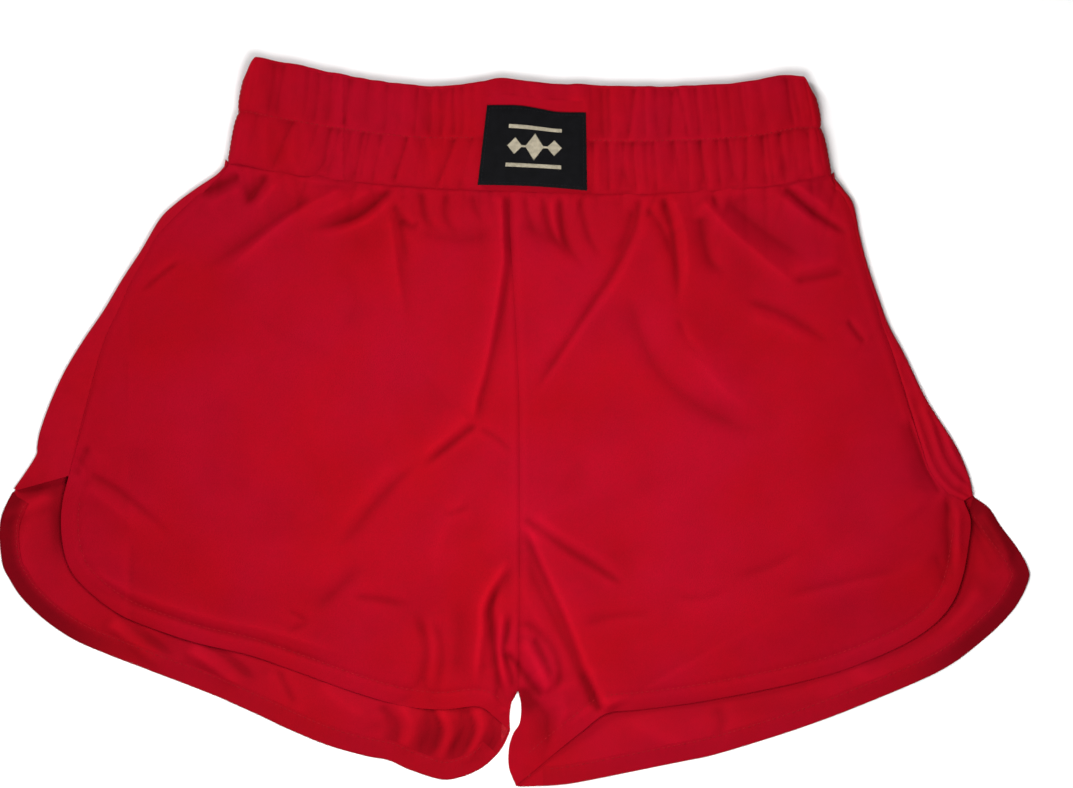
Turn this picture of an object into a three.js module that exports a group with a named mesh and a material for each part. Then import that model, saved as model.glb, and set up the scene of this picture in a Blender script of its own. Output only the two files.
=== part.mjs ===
// Boxing shorts laid flat on their back, front side up, with the waistband towards +Y.
// The wearer's right leg lies towards -X and the left leg towards +X. Units are millimetres, +Z is up,
// and the underside of the back rests on z = 0.
//
// The garment is two groups of sewn pieces: a waistband with two elastics in two channels, and a pair of
// legs cut as two front and two back panels. The backs are longer than the fronts, and every hem is a
// curve that rises to a vent at the side seam.
import * as THREE from 'three';

// ---------- driving dimensions ----------
const laidWidth = 577; // back hem to back hem, across both legs
const laidLength = 408; // top of the waistband to the tip of the left leg
const waistTopWidth = 319; // relaxed waistband, laid flat
const waistSeamWidth = 340;
const waistHeight = 60.5;
const waistThickness = 14; // of the flattened waistband loop, front and back together
const clothThickness = 0.7;
const elasticThickness = 1.2;
const channelSlack = 2.1; // between an elastic's edge and its channel's, above and below
const sewnGap = 0.3; // clearance between two pieces that lie face to face
const seamGap = 0.5; // clearance between two edges that a seam joins
const frontHemRise = 9.5; // middle of the front cloth above the table at the open hem
const hemFacingWidth = 11;
const hemStitchMargin = 1.5; // of the stitch line from the facing's inner edge
const seamAllowance = 7;
const labelWidth = 58;
const labelHeight = 44;
const labelFoot = 4; // of the label's lower edge above the waist seam
const labelTurn = -3; // degrees, as the label lies on the slack waistband
const labelThickness = 0.7;
const careLabelWidth = 25;
const careLabelLength = 35;
const threadWidth = 0.9;
const threadThickness = 0.3;

// ---------- sizes that follow ----------
const channelHeight = waistHeight / 2;
const elasticWidth = channelHeight - 2 * channelSlack;
const hemStitchInset = hemFacingWidth - hemStitchMargin;
const loopRadius = waistThickness / 2;
const casingThickness = 2 * clothThickness + 2 * sewnGap + elasticThickness;
const lowerLayer = clothThickness + sewnGap; // bottom of what lies on the back panels
const layerPitch = clothThickness + sewnGap;
const sheetEdgeZ = 3 * layerPitch + clothThickness / 2; // front cloth where a seam joins it to the back
const sheetWaistZ = waistThickness - casingThickness / 2;
const overlockTop = sheetEdgeZ - clothThickness / 2 - sewnGap;
const threadLift = 0.5; // clears the facets of the cloth under a long stitch line

const red = 0xae0c20;
const cloth = new THREE.MeshStandardMaterial({ color: red, roughness: 0.75, metalness: 0 });
const thread = new THREE.MeshStandardMaterial({ color: 0x9a0a1b, roughness: 0.6, metalness: 0 });
const elastic = new THREE.MeshStandardMaterial({ color: 0xe8e4dc, roughness: 0.85, metalness: 0 });
const labelBlack = new THREE.MeshStandardMaterial({ color: 0x0d0d12, roughness: 0.7, metalness: 0 });
const motifBeige = new THREE.MeshStandardMaterial({ color: 0xc3b9a6, roughness: 0.7, metalness: 0 });
const careWhite = new THREE.MeshStandardMaterial({ color: 0xf0efec, roughness: 0.5, metalness: 0 });

// ---------- small helpers ----------
const mix = (a, b, t) => a + (b - a) * t;
const clamp01 = (t) => Math.min(1, Math.max(0, t));
const smooth = (a, b, x) => {
  const t = clamp01((x - a) / (b - a));
  return t * t * (3 - 2 * t);
};

// A height read off a few [position, height] pairs, with smooth turns between them.
function profile(pairs) {
  const line = new THREE.SplineCurve(pairs.map(([x, y]) => new THREE.Vector2(x, y)));
  return (x) => {
    let low = 0;
    let high = 1;
    for (let i = 0; i < 24; i++) {
      const middle = (low + high) / 2;
      if (line.getPoint(middle).x < x) low = middle;
      else high = middle;
    }
    return line.getPoint((low + high) / 2).y;
  };
}

// A smooth planar edge through points, read by share of its length.
function edge(points) {
  const line = new THREE.CatmullRomCurve3(
    points.map(([x, y]) => new THREE.Vector3(x, y, 0)), false, 'centripetal');
  return {
    at: (t) => {
      const p = line.getPointAt(clamp01(t));
      return [p.x, p.y];
    },
    // Unit vector at right angles to the edge, to the left of its direction.
    left: (t) => {
      const d = line.getTangentAt(clamp01(t));
      return [-d.y, d.x];
    },
  };
}

// Two edges end to end; the second takes over at the given share.
function chain(first, second, share) {
  const pick = (t) => (t < share ? [first, t / share] : [second, (t - share) / (1 - share)]);
  const read = (what) => (t) => {
    const [line, local] = pick(t);
    return line[what](local);
  };
  return { at: read('at'), left: read('left') };
}

// A closed mesh from vertices and faces, turned to face outwards.
function closedMesh(vertices, faces) {
  let volume = 0;
  for (const [a, b, c] of faces) {
    const [p, q, r] = [vertices[a], vertices[b], vertices[c]];
    volume += p[0] * (q[1] * r[2] - q[2] * r[1])
      - p[1] * (q[0] * r[2] - q[2] * r[0])
      + p[2] * (q[0] * r[1] - q[1] * r[0]);
  }
  const outward = volume < 0 ? faces.map(([a, b, c]) => [a, c, b]) : faces;
  const geometry = new THREE.BufferGeometry();
  geometry.setAttribute('position', new THREE.Float32BufferAttribute(vertices.flat(), 3));
  geometry.setIndex(outward.flat());
  geometry.computeVertexNormals();
  return geometry;
}

// Cloth on a grid: place(u, v) gives [x, y], and low and high give the z of its two faces there.
function slab(place, low, high, nu, nv) {
  const vertices = [];
  const faces = [];
  const index = (i, j, face) => 2 * (i * (nv + 1) + j) + face;
  for (let i = 0; i <= nu; i++) {
    for (let j = 0; j <= nv; j++) {
      const [u, v] = [i / nu, j / nv];
      const [x, y] = place(u, v);
      vertices.push([x, y, low(u, v)], [x, y, high(u, v)]);
    }
  }
  const quad = (a, b, c, d) => faces.push([a, b, c], [a, c, d]);
  for (let i = 0; i < nu; i++) {
    for (let j = 0; j < nv; j++) {
      quad(index(i, j, 1), index(i + 1, j, 1), index(i + 1, j + 1, 1), index(i, j + 1, 1));
      quad(index(i, j, 0), index(i, j + 1, 0), index(i + 1, j + 1, 0), index(i + 1, j, 0));
    }
    quad(index(i, 0, 0), index(i + 1, 0, 0), index(i + 1, 0, 1), index(i, 0, 1));
    quad(index(i, nv, 1), index(i + 1, nv, 1), index(i + 1, nv, 0), index(i, nv, 0));
  }
  for (let j = 0; j < nv; j++) {
    quad(index(0, j, 1), index(0, j + 1, 1), index(0, j + 1, 0), index(0, j, 0));
    quad(index(nu, j, 0), index(nu, j + 1, 0), index(nu, j + 1, 1), index(nu, j, 1));
  }
  return closedMesh(vertices, faces);
}

// A section, given as 2D points, carried through stations; point(station, [a, b]) gives [x, y, z].
function sweep(section, stations, point, joined) {
  const vertices = stations.flatMap((station) => section.map((ab) => point(station, ab)));
  const faces = [];
  const count = section.length;
  const last = joined ? stations.length : stations.length - 1;
  for (let i = 0; i < last; i++) {
    const next = (i + 1) % stations.length;
    for (let k = 0; k < count; k++) {
      const side = (k + 1) % count;
      faces.push([i * count + k, next * count + k, next * count + side]);
      faces.push([i * count + k, next * count + side, i * count + side]);
    }
  }
  if (!joined) {
    const outline = section.map(([a, b]) => new THREE.Vector2(a, b));
    const end = (stations.length - 1) * count;
    for (const [a, b, c] of THREE.ShapeUtils.triangulateShape(outline, [])) {
      faces.push([a, b, c], [end + a, end + c, end + b]);
    }
  }
  return closedMesh(vertices, faces);
}

const rectangle = (a0, b0, a1, b1) => [[a0, b0], [a1, b0], [a1, b1], [a0, b1]];

// ---------- the lay: where the cloth's edges fall on the table ----------
// The points below are drawn on a lay of this width and length, and follow the driving sizes.
const drawnWidth = 577;
const drawnLength = 408;
const lay = (points) => points.map(([x, y]) => [x * laidWidth / drawnWidth, y * laidLength / drawnLength]);

// The waist seam sags between the hips. Its height above the lowest point, from right hip to left hip.
const [[waistCentreX, waistSeamY]] = lay([[8, 127.5]]);
const seamSag = profile([[-1, 17], [-0.8, 10.5], [-0.4, 4], [0, 1.2], [0.3, 0], [0.5, 0.8], [0.8, 4], [1, 10]]);
// What the top edge rises over the nominal waistband height: slack corners and a bump by the label.
const topSlack = profile([[-1, -1.5], [-0.85, 0], [-0.7, -1.8], [-0.48, -4], [-0.33, -3.4], [-0.18, -0.2],
  [-0.1, 2.6], [0.04, 0.6], [0.26, 0], [0.62, -1.8], [0.8, -1.9], [0.92, -1.5], [1, -5]]);

// Height on the table of a place on the waistband. Along is -1 at the right hip and 1 at the left, and up runs
// from 0 at the seam to 1 at the top.
function waistY(along, up) {
  return waistSeamY + seamSag(along) + up * (waistHeight + topSlack(along));
}
// The same share of the way along for an x measured from the waist's middle, at the seam.
const alongSeam = (x) => Math.min(1, Math.max(-1, x / (waistSeamWidth / 2 - loopRadius)));

// The flattened loop: straight runs front and back, and a half round at each hip. A station is where it is
// along the straight, from -1 to 1, and the direction that its cloth faces.
const hipSteps = 4;
const frontStations = [];
for (let i = 0; i < hipSteps; i++) frontStations.push({ along: -1, facing: Math.PI * (1 - i / hipSteps / 2) });
const straightSteps = 12;
for (let i = 0; i <= straightSteps; i++) frontStations.push({ along: -1 + 2 * i / straightSteps, facing: Math.PI / 2 });
for (let i = 1; i <= hipSteps; i++) frontStations.push({ along: 1, facing: Math.PI * (1 - i / hipSteps) / 2 });
const backStations = frontStations.map(({ along, facing }) => ({ along: -along, facing: facing - Math.PI }));

function waistPoint({ along, facing }, [radius, up]) {
  const halfWidth = mix(waistSeamWidth, waistTopWidth, up) / 2;
  const x = along * (halfWidth - loopRadius) + radius * Math.cos(facing);
  return [waistCentreX + x, waistY(along, up), loopRadius + radius * Math.sin(facing)];
}
const up = (height) => height / waistHeight;

// Half of the casing: one strip of cloth folded over at the top, open below, with room for the elastics.
function casing(stations) {
  const outer = loopRadius;
  const inner = loopRadius - casingThickness;
  const fold = 1 - up(clothThickness);
  const section = [[outer, 0], [outer, 1], [inner, 1], [inner, 0],
    [inner + clothThickness, 0], [inner + clothThickness, fold],
    [outer - clothThickness, fold], [outer - clothThickness, 0]];
  // The side seams lie at the hips, so each half stops a little short of them.
  const trimmed = stations.map((station, i) => {
    const turn = sewnGap / loopRadius;
    if (i === 0) return { ...station, facing: station.facing - turn };
    if (i === stations.length - 1) return { ...station, facing: station.facing + turn };
    return station;
  });
  return sweep(section, trimmed, waistPoint, false);
}

const loopStations = [...frontStations.slice(0, -1), ...backStations.slice(0, -1)];

// An elastic loop in the middle of its channel.
function elasticLoop(channel) {
  const middle = channelHeight * (channel + 0.5);
  const radius = loopRadius - clothThickness - sewnGap;
  const section = rectangle(radius - elasticThickness, up(middle - elasticWidth / 2),
    radius, up(middle + elasticWidth / 2));
  return sweep(section, loopStations, waistPoint, true);
}

// A line of stitches round half of the waistband, between the two channels.
function channelStitching(stations, radius) {
  const section = rectangle(radius, up(channelHeight - threadWidth / 2),
    radius + threadThickness, up(channelHeight + threadWidth / 2));
  return sweep(section, stations, waistPoint, false);
}

// The thread that closes the casing's side seam, down the outside of the hip.
function casingSideSeam(side) {
  const facing = side < 0 ? Math.PI : 0;
  const turn = threadWidth / 2 / loopRadius;
  const levels = [0.03, 0.25, 0.5, 0.75, 0.97];
  const section = rectangle(loopRadius + sewnGap, -turn, loopRadius + sewnGap + threadThickness, turn);
  return sweep(section, levels,
    (level, [radius, angle]) => waistPoint({ along: side, facing: facing + angle }, [radius, level]), false);
}

// ---------- the front label ----------
const labelCentre = [waistCentreX + 3, waistSeamY + labelFoot + labelHeight / 2];
const labelLow = waistThickness + sewnGap;
const labelTop = labelLow + labelThickness;

// The woven label, sewn flat on the front of the waistband.
function labelCloth() {
  const geometry = new THREE.BoxGeometry(labelWidth, labelHeight, labelThickness);
  geometry.rotateZ(THREE.MathUtils.degToRad(labelTurn));
  geometry.translate(labelCentre[0], labelCentre[1], labelLow + labelThickness / 2);
  return geometry;
}

const box2 = (halfX, halfY) => [[-halfX, -halfY], [halfX, -halfY], [halfX, halfY], [-halfX, halfY]];

// Thread that stands on the face of the label.
function raised(shape) {
  const geometry = new THREE.ExtrudeGeometry(shape, { depth: threadThickness, bevelEnabled: false });
  geometry.rotateZ(THREE.MathUtils.degToRad(labelTurn));
  geometry.translate(labelCentre[0], labelCentre[1], labelTop + sewnGap);
  return geometry;
}

function labelStitching() {
  const inset = 2;
  const [x, y] = [labelWidth / 2 - inset, labelHeight / 2 - inset];
  const shape = new THREE.Shape(box2(x, y).map((p) => new THREE.Vector2(...p)));
  const hole = box2(x - threadWidth, y - threadWidth).map((p) => new THREE.Vector2(...p));
  shape.holes.push(new THREE.Path(hole));
  return raised(shape);
}

// A plain woven motif: a tall diamond between two bars, with a small diamond linked to each side.
function labelMotif() {
  const [barHalf, barLow, barHigh] = [15, 9.1, 11.9];
  const quarter = [[barHalf, barHigh], [barHalf, barLow], [0.8, barLow - 0.2], [3.9, 0.6], [7, 0.6], [11, 5.5]];
  const tip = [barHalf, 0];
  const flip = (points, x, y) => points.map(([a, b]) => [x * a, y * b]);
  const outline = [...quarter, tip, ...flip(quarter, 1, -1).reverse(),
    ...flip(quarter, -1, -1), flip([tip], -1, 1)[0], ...flip(quarter, -1, 1).reverse()];
  return raised(new THREE.Shape(outline.map((p) => new THREE.Vector2(...p))));
}

// ---------- the legs ----------
// Each leg's edges. The side bows out between the hip and the vent, by shares of the way across and down.
// Hems run from the vent to the inseam; the rise runs from the waist down the middle to the crotch, and the
// inseam from there to the hem.
const riseLine = lay([[-5, 110], [-1, 60], [2.5, 0], [2.5, -99], [1, -150]]);
const legs = {
  right_leg: {
    hip: -1,
    side: [[0.167, 0.087], [0.352, 0.189], [0.648, 0.503], [0.929, 0.817]],
    vent: lay([[-267, -17]])[0],
    frontHem: lay([[-254, -36], [-253, -62], [-242, -91], [-215, -111], [-177, -123.5], [-121, -139.7],
      [-65, -158], [-24, -159]]),
    backHem: lay([[-281, -38], [-289, -60], [-282, -90], [-257, -115], [-205, -138.6], [-143, -164],
      [-105, -181], [-70, -190], [-42.5, -199.5], [-20, -194], [-8.5, -184]]),
    inseam: lay([[-3, -160], [-1.5, -171]]),
  },
  left_leg: {
    hip: 1,
    side: [[0.143, 0.085], [0.247, 0.277], [0.403, 0.466], [0.675, 0.703], [0.896, 0.853]],
    vent: lay([[255, -40]])[0],
    frontHem: lay([[257, -58], [252, -80], [245, -100], [229, -118], [198.5, -133.5], [137, -150], [97, -157.3],
      [51, -162.5], [24, -184]]),
    backHem: lay([[272, -56], [283, -72], [288, -86], [279, -105], [262, -122], [238, -138.6],
      [200, -155.4], [159, -171], [92, -190], [47, -199.2], [24, -203]]),
    inseam: lay([[4, -162], [3, -176], [-1.5, -190], [0, -204]]),
  },
};
const panelSteps = [16, 12];
const crotchV = 2 / panelSteps[1]; // share of a panel's inner edge that is inseam, the rest being rise

// A four-sided patch between edges: u runs from the middle of the garment to the side, v from hem to waist.
function patch(leg, hemPoints) {
  const { hip } = leg;
  const toward = (x) => x + hip * seamGap / 2;
  const middleX = toward(riseLine[0][0] - waistCentreX);
  const hipX = hip * (waistSeamWidth / 2 - seamGap);
  const waistAt = (u) => {
    const x = mix(middleX, hipX, u);
    return [waistCentreX + x, waistY(alongSeam(x), 0) - seamGap];
  };
  const toMiddle = (points) => points.map(([x, y]) => [toward(x), y]).reverse();
  const crotch = riseLine[riseLine.length - 1];
  const inseam = edge(toMiddle([crotch, ...leg.inseam]));
  const rise = edge([...toMiddle(riseLine), waistAt(0)]);
  const inner = chain(inseam, rise, crotchV);
  const side = leg.side.map((shares) => shares.map((share, k) => mix(waistAt(1)[k], leg.vent[k], share)));
  const outer = edge([waistAt(1), ...side, leg.vent].reverse());
  const hem = edge([leg.vent, ...hemPoints, inseam.at(0)].reverse());
  const place = (u, v) => {
    const [bottom, top, near, far] = [hem.at(u), waistAt(u), inner.at(v), outer.at(v)];
    const corner = [hem.at(0), hem.at(1), waistAt(0), waistAt(1)];
    return [0, 1].map((k) => mix(bottom[k], top[k], v) + mix(near[k], far[k], u)
      - mix(mix(corner[0][k], corner[1][k], u), mix(corner[2][k], corner[3][k], u), v));
  };
  return { place, hem, inseam, outer };
}

// Middle of the front cloth above the table: level over the body, falling to the side seam and the inseam.
function frontZ(u, v) {
  const sideSharpness = mix(7, 24, v);
  const side = Math.sqrt(Math.max(0, 1 - u ** sideSharpness));
  const inseam = 1 - smooth(crotchV, crotchV + 0.14, v);
  const inner = 1 - inseam * (1 - Math.sqrt(Math.max(0, 1 - (1 - u) ** 9)));
  return sheetEdgeZ + (mix(frontHemRise, sheetWaistZ, v) - sheetEdgeZ) * side * inner;
}

function frontSheet(leg) {
  const cut = patch(leg, leg.frontHem);
  // Columns crowd towards the side, where the cloth turns down.
  const crowd = (u) => 1 - (1 - u) ** 1.6;
  const place = (u, v) => cut.place(crowd(u), v);
  const middle = (u, v) => frontZ(crowd(u), v);
  return { ...cut, place, middle, heightAt: heightReader(place, middle, ...panelSteps) };
}

// Reads the height of a faceted sheet at [x, y]. Outside the sheet it gives the nearest corner's height.
function heightReader(place, middle, nu, nv) {
  const corner = (i, j) => [...place(i / nu, j / nv), middle(i / nu, j / nv)];
  const grid = Array.from({ length: nu + 1 }, (_, i) => Array.from({ length: nv + 1 }, (__, j) => corner(i, j)));
  const facets = [];
  for (let i = 0; i < nu; i++) {
    for (let j = 0; j < nv; j++) {
      const [a, b, c, d] = [grid[i][j], grid[i + 1][j], grid[i + 1][j + 1], grid[i][j + 1]];
      facets.push([a, b, c], [a, c, d]);
    }
  }
  return ([x, y]) => {
    for (const [a, b, c] of facets) {
      const area = (b[0] - a[0]) * (c[1] - a[1]) - (c[0] - a[0]) * (b[1] - a[1]);
      if (Math.abs(area) < 1e-9) continue;
      const s = ((x - a[0]) * (c[1] - a[1]) - (c[0] - a[0]) * (y - a[1])) / area;
      const t = ((b[0] - a[0]) * (y - a[1]) - (x - a[0]) * (b[1] - a[1])) / area;
      if (s >= 0 && t >= 0 && s + t <= 1) return a[2] + s * (b[2] - a[2]) + t * (c[2] - a[2]);
    }
    const corners = grid.flat();
    const distance = (p) => Math.hypot(p[0] - x, p[1] - y);
    return corners.reduce((best, p) => (distance(p) < distance(best) ? p : best))[2];
  };
}

const flat = (z) => () => z;
const sheetSlab = (place, middle) => slab(place,
  (u, v) => middle(u, v) - clothThickness / 2, (u, v) => middle(u, v) + clothThickness / 2, ...panelSteps);

// A strip along an edge, from one inset to another, between two shares of the edge's length.
// Side is 1 where the cloth lies to the left of the edge's direction, and -1 to the right.
function strip(line, side, from, to, inset, width, low, high, steps) {
  const place = (s, w) => {
    const t = mix(from, to, s);
    const [p, n] = [line.at(t), line.left(t)];
    const reach = side * (inset + w * width);
    return [p[0] + n[0] * reach, p[1] + n[1] * reach];
  };
  return slab(place, (s, w) => low(place(s, w)), (s, w) => high(place(s, w)), steps, 1);
}

const nodes = [];
const add = (name, geometry, material) => {
  const mesh = new THREE.Mesh(geometry, material);
  mesh.name = name;
  nodes.push(mesh);
};

// ---------- waistband ----------
add('waistband_front_casing', casing(frontStations), cloth);
add('waistband_back_casing', casing(backStations), cloth);
add('lower_elastic', elasticLoop(0), elastic);
add('upper_elastic', elasticLoop(1), elastic);
const halfStraight = waistTopWidth / 2 - loopRadius;
const labelEdge = (side) => (labelCentre[0] - waistCentreX + side * (labelWidth / 2 + 3)) / halfStraight;
const beside = (side) => [
  ...frontStations.slice(1, -1).filter(({ along }) => side * along > side * labelEdge(side)),
  { along: labelEdge(side), facing: Math.PI / 2 },
].sort((a, b) => a.along - b.along);
add('front_channel_stitching_right', channelStitching(beside(-1), loopRadius + sewnGap), thread);
add('front_channel_stitching_left', channelStitching(beside(1), loopRadius + sewnGap), thread);
add('back_channel_stitching',
  channelStitching(backStations.slice(1, -1), loopRadius - casingThickness - sewnGap - threadThickness), thread);
add('waistband_side_seam_right', casingSideSeam(-1), thread);
add('waistband_side_seam_left', casingSideSeam(1), thread);
add('front_label', labelCloth(), labelBlack);
add('label_stitching', labelStitching(), labelBlack);
add('label_motif', labelMotif(), motifBeige);

// ---------- legs ----------
const sheets = {};
for (const [name, leg] of Object.entries(legs)) {
  const front = frontSheet(leg);
  const back = patch(leg, leg.backHem);
  sheets[name] = front;
  add(`front_panel_${name}`, sheetSlab(front.place, front.middle), cloth);
  add(`back_panel_${name}`, slab(back.place, flat(0), flat(clothThickness), ...panelSteps), cloth);

  // Hems run from the inseam to the vent, with the cloth to the right of them on the right leg.
  const side = leg.hip;
  const hemEnds = [0.05, 0.93];
  const under = (p) => front.heightAt(p) - clothThickness / 2 - sewnGap;
  add(`front_hem_facing_${name}`, strip(front.hem, side, ...hemEnds, 1, hemFacingWidth,
    (p) => under(p) - clothThickness, under, 28), cloth);
  add(`back_hem_facing_${name}`, strip(back.hem, side, ...hemEnds, 1, hemFacingWidth,
    flat(lowerLayer), flat(lowerLayer + clothThickness), 28), cloth);
  const over = (p) => front.heightAt(p) + clothThickness / 2 + threadLift;
  add(`front_hem_stitching_${name}`, strip(front.hem, side, 0.08, 0.9, hemStitchInset, threadWidth,
    over, (p) => over(p) + threadThickness, 40), thread);
  const backThread = lowerLayer + layerPitch;
  add(`back_hem_stitching_${name}`, strip(back.hem, side, 0.08, 0.9, hemStitchInset, threadWidth,
    flat(backThread), flat(backThread + threadThickness), 32), thread);

  // Overlocked seam allowances, folded in between the front and the back.
  add(`side_seam_overlock_${name}`, strip(front.outer, side, 0.06, 0.97, 1.5, seamAllowance,
    flat(lowerLayer), flat(overlockTop), 16), thread);
  add(`inseam_overlock_${name}`, strip(back.inseam, -side, 0.15, 0.9, 1, seamAllowance * 0.7,
    flat(lowerLayer), flat(lowerLayer + clothThickness), 6), thread);
}

// Seam allowances along the rise and the waist, shared by both legs.
const lowest = (p) => Math.min(...Object.values(sheets).map((sheet) => sheet.heightAt(p)));
const beneath = (p) => lowest(p) - clothThickness / 2 - sewnGap;
const rise = edge([[riseLine[0][0], waistY(0, 0) - seamGap], ...riseLine]);
add('front_rise_overlock', strip(rise, 1, 0.06, 0.9, -seamAllowance / 2, seamAllowance,
  (p) => beneath(p) - clothThickness, beneath, 14), thread);
add('back_rise_overlock', strip(rise, 1, 0.06, 0.97, -seamAllowance / 2, seamAllowance,
  flat(lowerLayer), flat(lowerLayer + clothThickness), 14), thread);

const waistShare = 0.93; // of the half width, clear of the turned-down sides
const waistLine = edge(Array.from({ length: 9 }, (_, i) => {
  const x = mix(-waistShare, waistShare, i / 8) * waistSeamWidth / 2;
  return [waistCentreX + x, waistY(alongSeam(x), 0) - seamGap];
}));
add('front_waist_seam_overlock', strip(waistLine, -1, 0, 1, 1, seamAllowance,
  (p) => beneath(p) - clothThickness, beneath, 20), thread);
add('back_waist_seam_overlock', strip(waistLine, -1, 0, 1, 1, seamAllowance,
  flat(lowerLayer), flat(lowerLayer + clothThickness), 20), thread);

// The care label hangs inside from the back waist seam, over the seam allowances.
const careLabel = new THREE.BoxGeometry(careLabelWidth, careLabelLength, threadThickness);
careLabel.translate(waistCentreX, waistY(0, 0) - 2 - careLabelLength / 2,
  lowerLayer + layerPitch + threadThickness / 2);
add('care_label', careLabel, careWhite);

// The origin is the middle of the whole lay, on the table.
const shorts = new THREE.Group();
shorts.add(...nodes);
const middle = new THREE.Box3().setFromObject(shorts).getCenter(new THREE.Vector3());
for (const mesh of nodes) mesh.geometry.translate(-middle.x, -middle.y, 0);
export default shorts;
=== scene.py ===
"""Red boxing shorts laid flat, front side up, with a ruched two-channel waistband and curved hems.

Every shape is worked out in millimetres on the lay: x across the garment towards the wearer's left leg, y
towards the waistband, z up from the table. Cloth is a grid of points given a thickness. Names ending in right
are on the wearer's right leg, towards -x.
"""
import math

import bpy
import numpy as np
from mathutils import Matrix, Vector


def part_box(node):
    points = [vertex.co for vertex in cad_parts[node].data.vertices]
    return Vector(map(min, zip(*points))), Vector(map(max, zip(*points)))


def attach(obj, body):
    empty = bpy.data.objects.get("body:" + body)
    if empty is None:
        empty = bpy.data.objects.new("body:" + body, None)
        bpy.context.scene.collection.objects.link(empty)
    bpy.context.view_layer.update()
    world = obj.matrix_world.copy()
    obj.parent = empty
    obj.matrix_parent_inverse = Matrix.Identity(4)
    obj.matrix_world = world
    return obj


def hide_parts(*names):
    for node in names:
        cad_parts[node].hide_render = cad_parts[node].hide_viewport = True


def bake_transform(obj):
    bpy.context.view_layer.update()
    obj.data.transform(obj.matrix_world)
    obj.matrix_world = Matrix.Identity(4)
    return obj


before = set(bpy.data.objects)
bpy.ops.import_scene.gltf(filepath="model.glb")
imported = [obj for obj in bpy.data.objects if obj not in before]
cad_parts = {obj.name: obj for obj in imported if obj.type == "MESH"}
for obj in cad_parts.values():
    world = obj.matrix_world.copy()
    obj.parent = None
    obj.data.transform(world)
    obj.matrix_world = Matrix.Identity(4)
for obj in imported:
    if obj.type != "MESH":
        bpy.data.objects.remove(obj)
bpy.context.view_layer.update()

# ---------- sizes in millimetres ----------
MM = 0.001
CLOTH = 0.32
WAIST_X = 8.0
WAIST_Y = 127.5
WAIST_HEIGHT = 60.5
WAIST_SEAM_HALF = 170.0
WAIST_TOP_HALF = 159.5
LOOP_RADIUS = 7.0
HALF_STRAIGHT = WAIST_TOP_HALF - LOOP_RADIUS
HIP_ARC = LOOP_RADIUS * math.pi / 2
HEM_BAND = 11.0
HEM_STITCH = 9.6
HEM_LENGTH = 320.0
STITCH_PITCH = 2.9
TABLE_GAP = 0.42  # the lowest cloth's middle above the table
HEM_TIP_Y = -204.0
SEAM_TUCK = 1.6
SEAM_Z = 10.25

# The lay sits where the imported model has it.
CASING_LOW, CASING_HIGH = (np.array(corner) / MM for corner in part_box("waistband_front_casing"))
BACK_LOW = np.array(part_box("back_panel_left_leg")[0]) / MM
SHIFT = np.array([(CASING_LOW[0] + CASING_HIGH[0]) / 2 - WAIST_X, BACK_LOW[1] - HEM_TIP_Y, 0.0])

# ---------- camera ----------
VIEW_WIDTH = 601.0
VIEW_CENTRE = (11.8, 16.0)
VIEW_DISTANCE = 2200.0
camera_data = bpy.data.cameras.new("camera")
camera = bpy.data.objects.new("camera", camera_data)
bpy.context.scene.collection.objects.link(camera)
camera_data.sensor_width = 36.0
camera_data.lens = camera_data.sensor_width * VIEW_DISTANCE / VIEW_WIDTH
camera_data.clip_end = 20.0
camera.location = ((VIEW_CENTRE[0] + SHIFT[0]) * MM, (VIEW_CENTRE[1] + SHIFT[1]) * MM, VIEW_DISTANCE * MM)
bpy.context.scene.camera = camera


# ---------- curves and surfaces ----------
def run_length(line):
    """Length of a line from its start to each of its points."""
    return np.r_[0, np.cumsum(np.linalg.norm(np.diff(line, axis=0), axis=1))]


def read_along(line, run, at):
    """Places on a line at given lengths of its run."""
    return np.column_stack([np.interp(at, run, line[:, k]) for k in range(line.shape[1])])


def spline(points, count=200):
    """Catmull-Rom curve through the points, read at count equal steps of its length."""
    p = np.asarray(points, float)
    p = np.vstack([2 * p[0] - p[1], p, 2 * p[-1] - p[-2]])
    t = np.linspace(0, 1, 24, endpoint=False)[:, None]
    runs = [
        0.5 * (2 * b + (c - a) * t + (2 * a - 5 * b + 4 * c - d) * t**2 + (3 * b - a - 3 * c + d) * t**3)
        for a, b, c, d in zip(p, p[1:], p[2:], p[3:])
    ]
    dense = np.vstack([*runs, p[-2][None]])
    run = run_length(dense)
    return read_along(dense, run, np.linspace(0, run[-1], count))


def line_normals(line, side):
    """Unit normals of a flat line: to its right for side 1, to its left for side -1."""
    turn = np.gradient(line, axis=0)
    normal = np.column_stack([turn[:, 1], -turn[:, 0]]) * side
    return normal / np.linalg.norm(normal, axis=1, keepdims=True)


def reader(points):
    """Height of a smooth line over x, as a function."""
    dense = spline(points, 400)
    return lambda x: np.interp(x, dense[:, 0], dense[:, 1])


def smooth(low, high, x):
    """Rises from 0 at low to 1 at high, level at both ends."""
    t = np.clip((x - low) / (high - low), 0, 1)
    return t * t * (3 - 2 * t)


def mix(a, b, t):
    """Straight blend of a and b."""
    return a + (b - a) * t


def coons(bottom, top, inner, outer):
    """Patch between four edges: the straight blends of facing edges added, less the blend of the corners."""
    u = np.linspace(0, 1, len(bottom))[:, None, None]
    v = np.linspace(0, 1, len(inner))[None, :, None]
    across = mix(bottom[:, None], top[:, None], v)
    upward = mix(inner[None], outer[None], u)
    corners = mix(mix(bottom[0], bottom[-1], u), mix(top[0], top[-1], u), v)
    return across + upward - corners


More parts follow.
